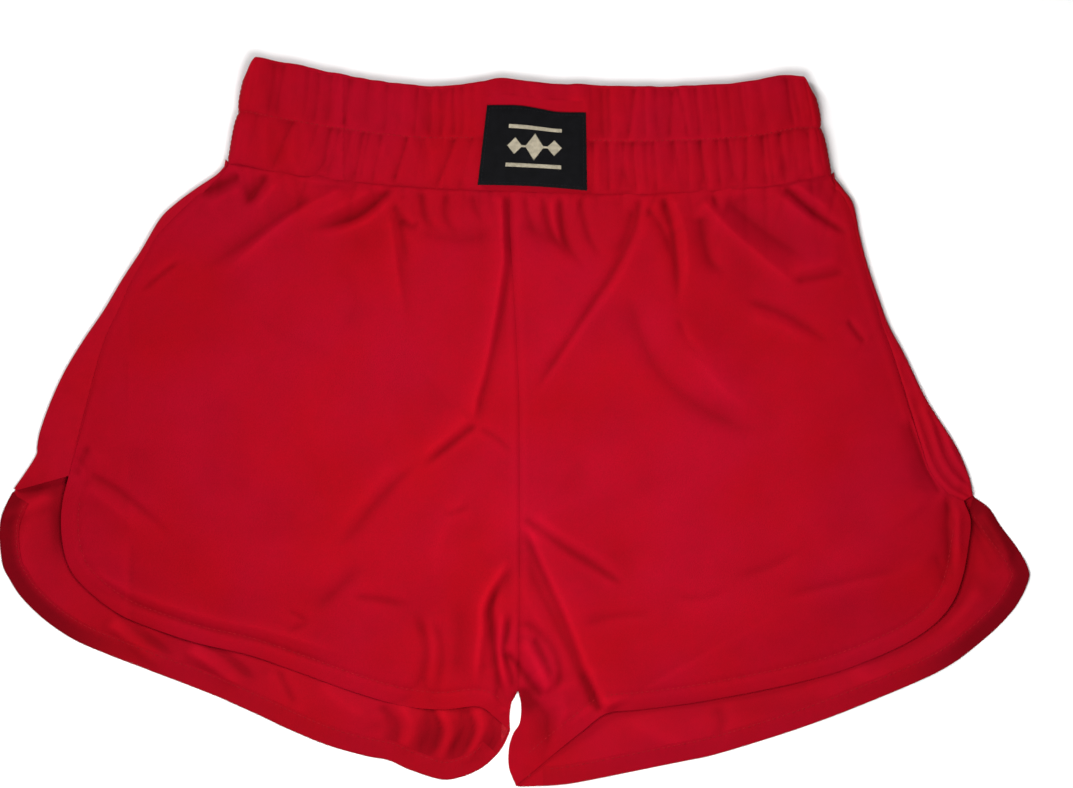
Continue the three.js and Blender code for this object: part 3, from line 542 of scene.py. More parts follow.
# ---------- folds of the front: points, height, width left of the line, width right of it, fades ----------
FRONT_FOLDS = [
    # right leg: hip and waist
    ([(-153, 138), (-165, 133.5), (-178, 127)], -3.4, 4, 4, 0.1, 0.2),
    ([(-151, 131), (-163, 126), (-176, 118)], 1.6, 5, 5, 0.2, 0.4),
    ([(-139, 138), (-145, 129), (-153, 119)], -3.4, 3, 4.5, 0.03, 0.3),
    ([(-133, 134), (-139, 126), (-147, 116)], 1.3, 4, 3, 0.1, 0.4),
    ([(-93, 132), (-118, 119), (-135, 107), (-150, 94), (-168, 78)], 3.2, 14, 4, 0.1, 0.35),
    ([(-112, 127), (-130, 116), (-151, 101), (-178, 82)], -2.4, 4, 8, 0.1, 0.4),
    ([(-70, 130), (-80, 121), (-89, 115), (-104, 109.5), (-121, 106)], -3.4, 2.2, 5, 0.03, 0.5),
    ([(-68, 125), (-82, 113), (-98, 106), (-112, 103)], 1.8, 7, 2.5, 0.1, 0.5),
    ([(-80, 130), (-95, 121), (-115, 113)], 1.6, 4, 6, 0.1, 0.4),
    ([(-186, 91), (-198, 82), (-210, 72)], -1.6, 1.8, 1.8, 0.25, 0.25),
    ([(-182, 96), (-195, 88), (-207, 79)], 0.9, 5, 5, 0.3, 0.3),
    ([(-70.5, 117), (-68, 100), (-64.5, 75), (-61, 45)], 1.9, 1.8, 9, 0.1, 0.6),
    ([(-64.5, 114), (-62.5, 102), (-60.5, 86)], -1.8, 5, 1.8, 0.1, 0.5),
    ([(-68, 122), (-63, 113), (-57, 109.5), (-53, 114)], -1.8, 2.6, 2.6, 0.1, 0.2),
    ([(-52, 128), (-50.5, 116), (-46, 109), (-41, 106)], -1.7, 2.6, 2.6, 0.04, 0.4),
    ([(-38, 129), (-39, 117), (-35, 108), (-29, 102)], -1.6, 2.6, 2.6, 0.04, 0.4),
    ([(-24, 129), (-22, 119), (-17, 109)], -1.2, 2.2, 2.2, 0.04, 0.4),
    ([(-62, 109), (-40, 103), (-22, 103), (-11, 110)], -2.0, 11, 7, 0.25, 0.2),
    ([(-100, 96), (-92, 78), (-90, 62), (-104, 42)], -1.1, 12, 7, 0.3, 0.4),
    ([(-150, 62), (-122, 44), (-98, 40)], -0.9, 12, 10, 0.3, 0.3),
    # the long crease beside the middle seam
    ([(-8, 129), (-7.2, 103), (-7, 88), (-12, 55), (-17, 30), (-22, 12), (-23.5, -3)],
     3.0, 1.8, 9, 0.04, 0.1),
    ([(-4.8, 127), (-3.4, 103), (-3.2, 88), (-8, 55), (-13.5, 30)], -1.3, 4.5, 1.8, 0.04, 0.6),
    ([(-21.6, -1), (-37, -13), (-53.5, -26)], -2.0, 2.0, 1.8, 0.05, 0.35),
    ([(-26, 3), (-40, -9), (-57, -22)], 1.6, 3, 9, 0.1, 0.4),
    ([(-20, -3), (-10, -9), (0, -18)], -1.1, 1.8, 1.8, 0.1, 0.4),
    ([(-53, -20), (-75, -42), (-90, -60), (-106, -78)], -1.2, 5, 2.4, 0.2, 0.5),
    ([(-66, -21), (-86, -44), (-104, -66)], 1.2, 4, 9, 0.2, 0.4),
    ([(-84, -79), (-98, -92), (-114, -107)], -1.7, 6, 6, 0.35, 0.35),
    ([(-92, -97), (-75, -99), (-57, -103)], -1.3, 2.4, 4, 0.2, 0.35),
    ([(-41, -52), (-33, -50), (-25, -46)], -1.1, 2, 2, 0.25, 0.3),
    ([(-22, -34), (-36, -52), (-44, -74), (-44, -94)], 1.3, 9, 8, 0.3, 0.3),
    ([(-128, -104), (-118, -112), (-130, -118)], -0.9, 2.2, 2.4, 0.2, 0.3),
    ([(-239, -28), (-222, -38), (-200, -56), (-186, -70)], -1.4, 2.4, 4, 0.05, 0.5),
    ([(-240, -36), (-224, -48), (-206, -64)], 1.1, 5, 4, 0.1, 0.5),
    ([(-238, -12), (-243, -22), (-246, -31)], -2.0, 3, 5, 0.2, 0.1),
    ([(-57, -104), (-51, -120), (-50, -134), (-55, -155)], -1.7, 4, 3.5, 0.25, 0.2),
    ([(-46, -110), (-41.5, -124), (-42, -140), (-46, -156)], -1.3, 2.6, 3, 0.2, 0.3),
    ([(-50, -106), (-46, -126), (-48, -148)], 1.0, 3, 3, 0.3, 0.3),
    ([(-33, -98), (-31, -118), (-34, -146)], -1.0, 7, 6, 0.3, 0.3),
    # along the right leg's hem
    ([(-243, -80), (-208, -97), (-168, -110), (-139, -116), (-91, -131)], 1.0, 3, 4, 0.1, 0.2),
    ([(-240, -90), (-208, -104), (-168, -117), (-139, -124), (-95, -139)], -0.8, 3, 2, 0.2, 0.2),
    # crotch
    ([(-3, -76), (-12, -90), (-18.5, -104), (-19, -116), (-21, -132), (-22, -150)], 3.0, 2.2, 4.5, 0.12, 0.2),
    ([(-8, -86), (-13.5, -102), (-13, -116), (-11.5, -131), (-9, -148), (-7, -160)],
     -3.0, 2.2, 2.6, 0.2, 0.1),
    ([(-3, -104), (-4.5, -118), (-6.5, -128), (-2, -141), (-1, -150)], -2.6, 2.0, 2.0, 0.2, 0.1),
    ([(-7.5, -104), (-8.5, -120), (-8, -136), (-5, -150)], 1.8, 1.8, 1.8, 0.2, 0.2),
    ([(0, -113), (7, -113), (15, -119), (22, -128), (25, -141), (22, -154)], -1.7, 2.2, 2.4, 0.15, 0.2),
    ([(4, -120), (9, -130), (16, -143), (19, -151)], 2.8, 4, 5, 0.2, 0.1),
    ([(10, -120), (16, -132), (21.5, -144)], -2.2, 1.7, 1.7, 0.1, 0.2),
    ([(-5, -128), (3, -138), (10, -147), (16, -153)], -2.8, 2.0, 3.2, 0.1, 0.1),
    ([(1, -150), (7, -156), (11, -163), (6, -170)], -3.2, 4.5, 5, 0.1, 0.2),
    ([(14, -160), (15, -172), (9, -186)], -1.8, 7, 6, 0.2, 0.3),
    ([(24, -152), (27, -164), (20, -178)], 1.2, 4, 4, 0.2, 0.3),
    # left leg: waist
    ([(25, 128), (26, 112), (29, 99), (42.5, 82)], -2.3, 2.6, 2.2, 0.03, 0.5),
    ([(15, 128), (18.5, 110), (25, 99), (34, 88)], -1.9, 2.4, 2.4, 0.03, 0.45),
    ([(5, 128), (8, 113), (13.5, 101)], -1.4, 2.4, 2.4, 0.03, 0.4),
    ([(36, 127), (39, 110), (44, 98), (51, 89)], -1.5, 2.4, 2.4, 0.03, 0.4),
    ([(20, 124), (22, 108), (27, 96)], 1.2, 2.4, 2.4, 0.1, 0.4),
    ([(1, 112), (20, 103), (38, 97)], -1.9, 11, 8, 0.2, 0.35),
    ([(69, 122), (66, 107), (54.4, 83.5), (43, 66), (32.6, 50), (20, 31), (9, 14)],
     -2.0, 1.7, 3.2, 0.04, 0.2),
    ([(66, 120), (62, 105), (54, 90)], -1.5, 2, 5, 0.1, 0.4),
    ([(75, 118), (70.5, 104), (59, 81.5), (47.5, 64), (36, 47)], 1.1, 10, 2.6, 0.06, 0.4),
    ([(82, 128), (87, 110), (88.5, 100), (90.5, 80), (90, 62)], -2.7, 1.9, 3.2, 0.02, 0.35),
    ([(73, 120), (79, 113), (84, 104), (87, 90)], -1.7, 2.4, 4, 0.1, 0.4),
    ([(88, 125), (94, 108), (96, 90), (95.5, 68)], 1.5, 9, 2.8, 0.06, 0.4),
    ([(90, 60), (96, 46), (108, 30)], -1.2, 2.4, 3, 0.2, 0.4),
    ([(62, 76), (68, 54), (78, 32), (90, 18), (104, 8), (124, -2), (148, -11)], -2.8, 9, 9, 0.2, 0.3),
    ([(92, 60), (101, 38), (118, 16), (140, 2)], 1.9, 13, 6, 0.2, 0.4),
    ([(104, 124), (118, 109), (131.6, 97), (147, 84), (163, 71.6)], 3.1, 6, 7, 0.06, 0.3),
    ([(103, 116), (106, 100), (110, 89), (121, 80)], -2.4, 4, 5, 0.1, 0.35),
    ([(118, 124), (135, 110), (152, 98), (168, 89)], -2.4, 9, 5, 0.1, 0.4),
    ([(110, 129), (112, 123), (114.5, 118)], -2.2, 2.2, 2.2, 0.03, 0.35),
    ([(148, 134), (160, 123.5), (172, 114), (188, 104)], -3.0, 2.1, 2.3, 0.03, 0.2),
    ([(153, 136), (166, 126), (180, 116)], 1.4, 5, 3, 0.1, 0.3),
    ([(146, 128), (158, 118), (174, 107)], 1.4, 3, 6, 0.1, 0.4),
    ([(154, 78.5), (170, 81), (186, 84.5)], -1.8, 4, 2.2, 0.2, 0.2),
    ([(152, 84), (170, 88), (185, 91)], 1.0, 5, 4, 0.2, 0.3),
    ([(126, 69), (147, 62), (163, 53), (180, 41.5)], -1.7, 4, 2.6, 0.2, 0.35),
    ([(130, 60), (150, 53), (170, 42)], 1.2, 4, 8, 0.2, 0.4),
    ([(185, 58), (190, 51), (196, 44)], -1.8, 1.8, 1.8, 0.2, 0.2),
    # left leg: below
    ([(4, -53), (16, -61.5), (30, -71.5), (46, -81.5), (62, -92)], -1.9, 1.8, 1.8, 0.05, 0.15),
    ([(10, -51), (24, -61), (42, -72), (60, -84)], 1.3, 10, 3, 0.1, 0.3),
    ([(5, -56), (9, -64), (16, -80), (27.5, -105.5), (36, -127), (45, -151), (51, -162)],
     3.3, 18, 1.4, 0.1, 0.02),
    ([(5, -72), (12, -90), (22, -110), (34, -136), (43, -156)], -1.2, 1.8, 2.2, 0.2, 0.2),
    ([(-1, -80), (8, -100), (18, -120), (28, -140)], 0.8, 3, 5, 0.2, 0.3),
    ([(38, -137), (43, -149), (48.5, -160)], -2.2, 1.6, 5, 0.3, 0.02),
    ([(35, -114.5), (55, -108.5), (80, -107)], -0.9, 4, 2.6, 0.25, 0.3),
    ([(119, -87), (141, -81), (163, -69)], -0.9, 5, 3, 0.3, 0.35),
    ([(144, -99), (171, -92), (221, -81)], -1.0, 5, 2.8, 0.3, 0.3),
    ([(86, -96), (104, -98), (122, -92)], -0.7, 3, 3, 0.3, 0.3),
    ([(219, 4), (225, -13), (231, -28), (240, -41)], -3.0, 1.8, 7, 0.2, 0.1),
    ([(243.5, -38), (242, -55), (243, -75), (245, -90)], -2.2, 2.2, 5, 0.05, 0.3),
    ([(248, -47), (247.5, -62), (248, -80)], 1.1, 2.4, 2.4, 0.1, 0.3),
    ([(233, -70), (239, -84), (243, -94)], -1.6, 7, 6, 0.3, 0.3),
]

# ---------- spots of painted shade in hollows: place, reach across and up, depth ---
FRONT_HOLLOW_SHADE = [
    (7, -156, 5, 7, 1.0), (17, -171, 8, 9, 0.45), (-164, 130, 13, 6, 0.5), (-148, 128, 5, 7, 0.35),
    (-40, 118, 26, 8, 0.16), (245, -60, 6, 24, 0.35), (226, -20, 6, 20, 0.3), (44, -150, 4, 8, 0.5),
    (-22, 100, 10, 22, 0.1), (20, 112, 22, 10, 0.16), (128, 106, 34, 12, 0.12),
]
BACK_HOLLOW_SHADE = [
    (-42, -178, 27, 13, 0.6), (-14, -180, 8, 10, 0.5), (-256, -56, 5, 18, 0.8), (-268, -37, 15, 5, 0.7),
    (-206, -122, 24, 7, 0.4), (-162, -138, 22, 7, 0.35), (260, -51, 8, 8, 0.8), (160, -160, 60, 7, 0.25),
    (268, -96, 9, 10, 0.3),
]

# ---------- folds of the inside of the back, where it shows past the front hems ----------
BACK_FOLDS = [
    ([(-287, -53), (-272, -47), (-257, -40)], 2.2, 4, 3.5, 0.05, 0.3),
    ([(-222, -106), (-206, -120), (-189, -133)], -1.7, 2.2, 3, 0.05, 0.3),
    ([(-228, -112), (-210, -127), (-196, -139)], 2.0, 7, 3, 0.1, 0.3),
    ([(-176, -122), (-160, -132), (-144, -146)], -2.0, 2.2, 3, 0.05, 0.3),
    ([(-184, -127), (-167, -138), (-152, -150)], 2.2, 8, 3, 0.1, 0.3),
    ([(-133, -138), (-128, -148), (-122, -160)], -1.3, 2, 2.6, 0.1, 0.3),
    ([(-112, -146), (-98, -157), (-80, -168)], 1.9, 9, 8, 0.3, 0.3),
    ([(-76, -158), (-68, -170), (-72, -184)], -1.6, 4, 3, 0.1, 0.3),
    ([(-64, -158), (-58, -170), (-64, -186)], 2.0, 4, 6, 0.1, 0.3),
    ([(-50, -158), (-45, -172), (-54, -190)], -2.0, 3, 3.4, 0.1, 0.3),
    ([(-42, -160), (-37, -174), (-44, -192)], 2.1, 3, 4, 0.1, 0.3),
    ([(-30, -158), (-26, -172), (-36, -188)], -2.2, 3, 3, 0.1, 0.2),
    ([(-22, -160), (-19, -172), (-28, -192)], 1.8, 2.6, 3.4, 0.1, 0.2),
    ([(-12, -164), (-10, -174), (-16, -186)], -1.4, 2.6, 2.6, 0.1, 0.2),
    ([(-264, -46), (-273, -58), (-276, -74), (-268, -92)], 1.4, 7, 5, 0.3, 0.3),
    ([(260, -50), (269, -63), (278, -80)], 2.8, 3, 2.6, 0.1, 0.2),
    ([(256, -54), (264, -66), (272, -84)], -1.2, 3, 4, 0.1, 0.3),
    ([(262, -92), (250, -108), (236, -118)], 1.3, 7, 6, 0.2, 0.3),
    ([(186, -138), (200, -144), (214, -140)], 1.1, 6, 6, 0.3, 0.3),
    ([(112, -158), (116, -168), (112, -180)], -1.0, 3, 5, 0.2, 0.3),
    ([(60, -166), (82, -176), (100, -184)], 1.3, 9, 7, 0.3, 0.3),
]


def seam_z(v):
    """Height of the side seam, from the vent to the waist."""
    return 4.3 + 2.2 * v


def bell(away, width):
    """1 at the line, falling off to either side of it."""
    return np.exp(-((away / width) ** 2))


def gathers(x, below, seed, count=44):
    """Short creases that fan down from the waist seam, each a narrow valley that dies away below it."""
    rng = np.random.default_rng(seed)
    z = np.zeros_like(x)
    places = np.linspace(-172, 188, count) + rng.uniform(-3.4, 3.4, count)
    for place in places:
        depth, reach = rng.uniform(0.3, 1.5), rng.uniform(5, 18)
        lean, width = rng.uniform(-0.35, 0.35), rng.uniform(1.0, 2.4)
        away = np.abs(x - place - lean * below)
        z -= depth * np.exp(-away / width) * np.exp(-np.maximum(below, 0) / reach)
    return z


def middle_edge(leg):
    """Inner edge from the hem up to the waist, its bottom part being the inseam."""
    rise = spline(RISE[::-1], PANEL_V - INSEAM_V + 1)
    inseam = spline(leg["inseam"][::-1], INSEAM_V)
    return np.vstack([inseam[:-1], rise])


def waist_edge(x_from, x_to, count):
    """The waist seam on the table between two places across."""
    x = np.linspace(x_from, x_to, count)
    return np.column_stack([x, waist_y(seam_share(x), 0) + SEAM_TUCK])


def below_waist(x, y):
    """How far a place lies below the waist seam."""
    return waist_y(seam_share(x), 0) - y


def seam_level(z, below):
    """The cloth meets the waistband's foot at the seam, and its allowance lies just under it."""
    z = mix(z, SEAM_Z + 0.55 * (z - SEAM_Z), smooth(7, 0, below))
    return mix(z, np.minimum(z, SEAM_Z - SEAM_UNDER), smooth(1.2, -0.2, below))


def patch(hem, top, inner, outer):
    """Patch between a leg's four edges, once its corners meet."""
    inner[-1], outer[-1], hem[0], hem[-1] = top[0], top[-1], inner[0], outer[0]
    return coons(hem, top, inner, outer)


def hem_relief(hem_away):
    """The hem's band stands a little proud outside its stitch groove, with puckers beside the stitches.
    Puckers are a sine along the hem, shifted by noise."""
    run = np.linspace(0, 1, PANEL_U)[:, None] * HEM_LENGTH
    beside = hem_away - HEM_STITCH
    z = 0.1 * np.sin(run * 1.15 + 3 * noise(run, run * 0, 21, 5)) * bell(beside, 3.6)
    z = z - 0.3 * bell(beside, 1.6)
    return z + 0.2 * smooth(0, 1.2, hem_away) * (1 - smooth(HEM_STITCH - 2, HEM_STITCH, hem_away))


def front_grid(leg):
    """Front panel: a patch between the waist, the side seam, the hem and the middle. It stands open at the
    hem, is fullest near the waist and comes down to its seams, and its folds are added to that."""
    side = leg["side"]
    inner = middle_edge(leg)
    inner[:, 0] += 0.6 * (side < 0) * smooth(-150, -140, inner[:, 1])
    outer = spline(leg["seam"][::-1], len(inner)) + [side * 0.3, 0]
    hem = spline(leg["front_hem"][::-1], PANEL_U)
    flat = patch(hem, waist_edge(inner[-1][0], outer[-1][0], PANEL_U), inner, outer)
    x, y = flat[..., 0], flat[..., 1]
    u = np.linspace(0, 1, flat.shape[0])[:, None]
    v = np.linspace(0, 1, flat.shape[1])[None]
    below = below_waist(x, y)
    hem_away = to_line(x, y, hem)[0]
    # fullness between the open hem and the side seam
    fullness = np.interp(y, [-205, -160, -110, -50, 40, 130], [3.8, 4.8, 6.4, 7.8, 9.0, 10.2])
    open_hem = 3.3 + 0.8 * noise(x, y, 34, 15)
    z = open_hem + (fullness - open_hem) * (1 - np.exp(-hem_away / 20))
    edge_fall = np.clip(1 - u ** mix(4, 7, v), 0, 1)
    z = seam_z(v) + (z - seam_z(v)) * edge_fall
    crotch = 1 - smooth(0.14, 0.34, v)
    inner_fall = 1 - crotch * (1 - np.sqrt(np.clip(1 - (1 - u) ** 10, 0, 1)))
    z = 1.9 + (z - 1.9) * inner_fall
    # folds, gathers and the cloth's slow swells
    calm = smooth(0, 0.03, 1 - u) * smooth(0, 5, hem_away)
    z += folds(x, y, FRONT_FOLDS) * mix(0.35, 1, calm) * smooth(-1, 5, below)
    z += gathers(x, below, 3)
    z += edge_fall * (1.9 * noise(x, y, 62, 11) + 0.9 * noise(x, y, 27, 12)) + 0.1 * noise(x, y, 9, 13)
    # the middle seam and the side seam pull the cloth down a little
    rise_away = np.abs(x - np.interp(y, *np.array(RISE[::-1]).T[::-1]))
    on_rise = smooth(-152, -140, y)
    z -= on_rise * (0.22 * bell(rise_away, 1.3) - 0.2 * bell(rise_away - 3.6, 1.8))
    z += 0.25 * bell(to_line(x, y, outer)[0] - 3.5, 2)
    z = soften(z + hem_relief(hem_away))
    z -= (side < 0) * on_rise * 0.34 * (1 - smooth(0.3, 1.6, rise_away))
    z = np.maximum(z, FLOOR_FRONT + 0.2 * noise(x, y, 9, 14))
    return np.dstack([flat, seam_level(z, below)]), hem


def held_inside(flat, leg):
    """Below the vent the outline turns in, so places that would pass it are held just inside."""
    side, margin, easing = leg["side"], 1.7, 1.2
    bound = np.array(leg["back_hem"][leg["tip"]::-1] + leg["fold"][-2::-1])
    x, y = flat[..., 0], flat[..., 1]
    over = np.maximum(side * x - side * np.interp(y, bound[:, 1], bound[:, 0]) + margin, 0)
    x -= side * (over - easing * (1 - np.exp(-over / easing)))


def side_wrap(side, fold_edge, seam, outward, radius, width):
    """Back panel's cloth from the table round the side fold, then level until it lies just under the front
    panel's edge: half a circle of its own radius, then a straight blend to the seam, crumpled and pleated.
    Width is how far the seam lies inside the fold."""
    turned = 0.45
    top_z = seam_z(np.linspace(0, 1, len(seam)))
    fold_z = top_z * (1 - 0.4 * np.clip(width / 25, 0, 1))
    q = np.linspace(0, 1, WRAP_U)[1:, None]
    bend = np.clip(q / turned, 0, 1) * math.pi - math.pi / 2
    reach = smooth(0.4, 1, q)[..., None]
    around = fold_edge[None] + outward[None] * radius[None] * np.cos(bend)[..., None]
    over = mix(around, (seam - outward * 0.7)[None], np.where(q[..., None] > 0.4, reach, 0))
    z = (TABLE_GAP + fold_z)[None] / 2 + (fold_z - TABLE_GAP)[None] / 2 * np.sin(bend)
    z = z + (top_z - fold_z)[None] * np.sin(reach[..., 0] * math.pi / 2)
    x, y = over[..., 0], over[..., 1]
    seam_away = np.linalg.norm(over - seam[None], axis=2)
    crumple = 0.6 * noise(x, y, 13, 31) + 0.35 * noise(x, y, 6, 32)
    pleats = 0.9 * np.sin(seam_away * 0.85) * smooth(30, -20, y) * (side > 0)
    z = z + np.clip((q - 0.2) * 3, 0, 1) * (crumple + pleats) * smooth(0.5, 4, seam_away)
    z = z - 0.42 * smooth(2.0, 0.3, seam_away) * smooth(0.5, 0.9, q)
    return np.dstack([over, np.maximum(z, TABLE_GAP)])


def back_grid(leg):
    """Back panel: flat on the table from the middle to the side fold, then round it and up to the seam."""
    side = leg["side"]
    inner = middle_edge(leg) + [side * 0.03, 0]
    fold = spline(leg["fold"][::-1], len(inner))
    seam = spline(leg["seam"][::-1], len(inner))
    outward = line_normals(fold, side)
    width = np.linalg.norm(fold - seam, axis=1)
    radius = np.minimum(1.7, 0.45 * width + 0.3)[:, None]
    outer = fold - outward * radius
    hem = spline(leg["back_hem"][::-1], BACK_U)
    flat = patch(hem, waist_edge(inner[-1][0], outer[-1][0], BACK_U), inner, outer)
    held_inside(flat, leg)
    x, y = flat[..., 0], flat[..., 1]
    u = np.linspace(0, 1, flat.shape[0])[:, None]
    z = TABLE_GAP + 0.35 * (1 + noise(x, y, 38, 21)) + 0.15 * (1 + noise(x, y, 13, 22))
    z += folds(x, y, BACK_FOLDS)
    z = soften(mix(z, TABLE_GAP, smooth(0.93, 1, u)))
    below = below_waist(x, y)
    z = np.maximum(z, TABLE_GAP) + 1.7 * np.exp(-np.maximum(below, 0) / 2.0) * smooth(1, 0.93, u)
    wrap = side_wrap(side, outer, seam, outward, radius, width)
    return np.concatenate([np.dstack([flat, z]), wrap]), hem


def hem_lines(grid, hem, side, insets, start, stop):
    """Lines on a panel at several distances inside its hem: stations along the hem, moved in along its
    normal, with the height of the four nearest grid points weighted by how near they are."""
    line = spline(hem, 400)[int(start * 400):int(stop * 400)]
    inward = line_normals(line, -side)
    near = grid[to_line(grid[..., 0], grid[..., 1], line[::4])[0] < max(insets) + 4]
    lines = []
    for inset in insets:
        place = line + inward * inset
        away2 = ((place[:, None] - near[None, :, :2]) ** 2).sum(2)
        four = np.argpartition(away2, 4, axis=1)[:, :4]
        weight = 1 / (np.take_along_axis(away2, four, 1) + 0.05)
        height = (near[four, 2] * weight).sum(1) / weight.sum(1)
        lines.append(np.column_stack([place, height]))
    return np.stack(lines, 1)


def hem_facing(face, which, grid, hem, offset, ends, painted_shade):
    """Turned-up hem: a strip from the edge to its stitch line, a little off the panel's face and rippled.
    Painted shade gives how far its colour is darkened at a place across."""
    strip = hem_lines(grid, hem, LEGS[which]["side"], np.linspace(0.25, HEM_BAND, 12), *ends)
    share = np.linspace(0, 1, 12)[None]
    run = np.linspace(0, 1, strip.shape[0])[:, None] * HEM_LENGTH
    ripple = 0.05 * (1 + np.sin(run * 1.3 + 2.5 * noise(run, run * 0, 17, 8))) * smooth(0.1, 0.9, share)
    strip[..., 2] += offset * (1 - 0.4 * np.exp(-share / 0.06)) + np.sign(offset) * ripple
    # painted shade and highlight from the band's folds, less the painted shade along it
    painted_light = fold_shade_and_highlight(strip, 1.5, 9) - painted_shade(strip[..., 0]) * smooth(1.1, 0.5, share)
    obj = shell(f"{face}_hem_band_{which}", strip, 0.35, RED_HEM, painted_light)
    fit(obj, "red_cloth", "bend", f"{face}_hem_facing_{which}_leg")


def hem_stitching(face, which, grid, hem, stop, proud):
    """Row of stitches that holds the turned-up hem, standing proud of the panel."""
    line = hem_lines(grid, hem, LEGS[which]["side"], [HEM_STITCH], 0.05, stop)[:, 0] + [0, 0, proud]
    obj = stitches(f"{face}_hem_stitches_{which}", line, RED_THREAD)
    fit(obj, "red_thread", "bend", f"{face}_hem_stitching_{which}_leg")


def fit(obj, slot, body, *replaced):
    """Hide the nodes a piece stands for, and hang it on the body it moves with; for the body bend it keeps
    its place, its transform baked in. Slot is not used."""
    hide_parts(*replaced)
    if body == "bend":
        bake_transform(obj)
    else:
        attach(obj, body)
    return obj


def overlock(name, node, strip, offset):
    """Seam allowance bound with overlock thread: a narrow ribbon off the cloth's face, ribbed by the loops
    that pass over it, with scalloped edges. The ribs are the size of a sine along the run."""
    run = run_length(strip[:, strip.shape[1] // 2])
    at = np.arange(0, run[-1], 0.55)
    fine = np.stack([read_along(strip[:, k], run, at) for k in range(strip.shape[1])], 1)
    rib_pitch, scallop = 2.4, 0.35
    wave = np.abs(np.sin(np.pi * at / rib_pitch))[:, None]
    inward = (fine[:, 1:2, :2] - fine[:, :1, :2]) * scallop * (1 - wave)[..., None]
    fine[:, :1, :2] += inward
    fine[:, -1:, :2] -= inward
    fine[..., 2] += offset + math.copysign(0.22, offset) * (wave - 0.5)
    fine[..., 2] = np.maximum(fine[..., 2], 0.35)
    fit(shell(name, fine, 0.3, RED_THREAD), "red_thread", "bend", node)


# ---------- waistband: creases of the front's upper and lower channel, as place, lean and depth ----------
CHANNEL_SEAM = 0.49  # share of the band's height
OUTER, INNER = 5.5, 1.2  # of the casing's two faces from the loop's middle line
FRONT_RUCHES = (
    [(-137.5, 0, 0.9), (-133, 0.02, 1.3), (-118, 0, 0.7), (-112, 0, 1.2), (-105, 0, 1.0), (-95, 0.02, 1.3),
     (-84, 0, 0.6), (-73, 0, 0.9), (-66, 0, 0.5), (-56, 0.02, 1.2), (-48, 0, 1.3), (-42, -0.02, 1.1),
     (-35, -0.05, 1.4), (-30, -0.03, 0.9), (-24, 0, 0.6), (43, 0, 0.7), (49, 0, 1.4), (53, 0, 0.8),
     (65.5, 0.2, 1.6), (73, 0.05, 0.8), (80, 0, 0.6), (88, 0.12, 1.3), (95, -0.14, 1.4), (103, 0, 0.9),
     (110, 0, 0.7), (114.5, 0, 1.1), (121, 0, 0.6), (128.5, -0.02, 1.2), (140, 0, 0.5), (155, 0, 1.2),
     (159, 0, 0.6), (166, 0, 1.0)],
    [(-145, 0.1, 0.7), (-128, 0.3, 1.2), (-113, 0.2, 0.7), (-104, 0.1, 1.2), (-100, 0.14, 1.0),
     (-93, 0.12, 0.6), (-86, 0.12, 1.2), (-83, 0.1, 0.9), (-76, 0.1, 1.1), (-63, 0.2, 1.5), (-53, 0.1, 0.6),
     (-38, 0.3, 1.5), (-27, 0.2, 0.8), (43, 0, 0.9), (51.5, 0, 1.4), (60, 0, 1.1), (65.5, 0, 1.2),
     (72, 0, 0.6), (77, 0, 1.2), (87, 0, 0.6), (95, 0.04, 1.1), (103, 0, 1.5), (112, 0, 1.1),
     (119, -0.08, 1.4), (127, 0.12, 1.3), (137, 0.02, 1.4), (140.5, 0, 0.8), (147, 0, 1.2), (154, 0, 0.6),
     (162, 0.02, 1.5), (168, 0, 0.7)],
)
LABEL_AT, LABEL_SIZE, LABEL_TURN, LABEL_TOP = (10.7, 153.6), (58.0, 44.0), -3.0, 14.0
DEEPEST_RUCHE = 2.3


def ruches(x, up, marks, seed, spread):
    """Creases down both channels: each a cusp and a soft bell across, deepest near the rows of stitching,
    over soft swells. The marked creases come first, then random ones, more of them where none is marked."""
    rng = np.random.default_rng(seed)
    depth = np.zeros(np.broadcast(x, up).shape)
    for channel, low, high in ((0, CHANNEL_SEAM, 1.0), (1, 0.0, CHANNEL_SEAM)):
        t = (up - low) / (high - low)
        inside = smooth(-0.02, 0.06, t) * smooth(-0.02, 0.06, 1 - t)
        drawn = [(place, lean, size, rng.uniform(0.9, 1.7)) for place, lean, size in marks[channel]]
        count, strength = (30, 1) if drawn else (78, 2)
        drawn += [(rng.uniform(-160, 178), rng.uniform(-0.12, 0.12), rng.uniform(0.25, 0.6) * strength,
                   rng.uniform(0.8, 2.4)) for _ in range(count)]
        channel_depth = 0
        for place, lean, size, width in drawn:
            middle = WAIST_X + (place - WAIST_X) * (1 - 0.055 * (up - 0.5))
            away = x - middle - lean * (t - 0.5) * 30 + 0.22 * np.sin(7 * t + place)
            one_sided = np.where(away > 0, width * 0.75, width * 1.6)
            length = mix(0.55, 1.0, np.abs(2 * t - 1) ** 1.5) * smooth(-0.05, 0.2 + 0.2 * (size < 0.8), t)
            channel_depth = channel_depth + size * length * (
                0.75 * np.exp(-np.abs(away) / one_sided) + 0.45 * bell(away, 2.4 * one_sided))
        depth += inside * np.minimum(channel_depth, DEEPEST_RUCHE)
    swell = 0.75 * noise(x, up * 16, 12, seed + 1) + 0.3 * noise(x, up * 30, 5, seed + 2)
    return spread * (depth - swell)


def face_path(turned, straight):
    """Path across one face from hip to hip, with its own number of points round each hip and between them."""
    left = np.linspace(-HALF_STRAIGHT - HIP_ARC, -HALF_STRAIGHT, turned)[:-1]
    right = np.linspace(HALF_STRAIGHT, HALF_STRAIGHT + HIP_ARC, turned)[1:]
    return np.r_[left, np.linspace(-HALF_STRAIGHT, HALF_STRAIGHT, straight), right]


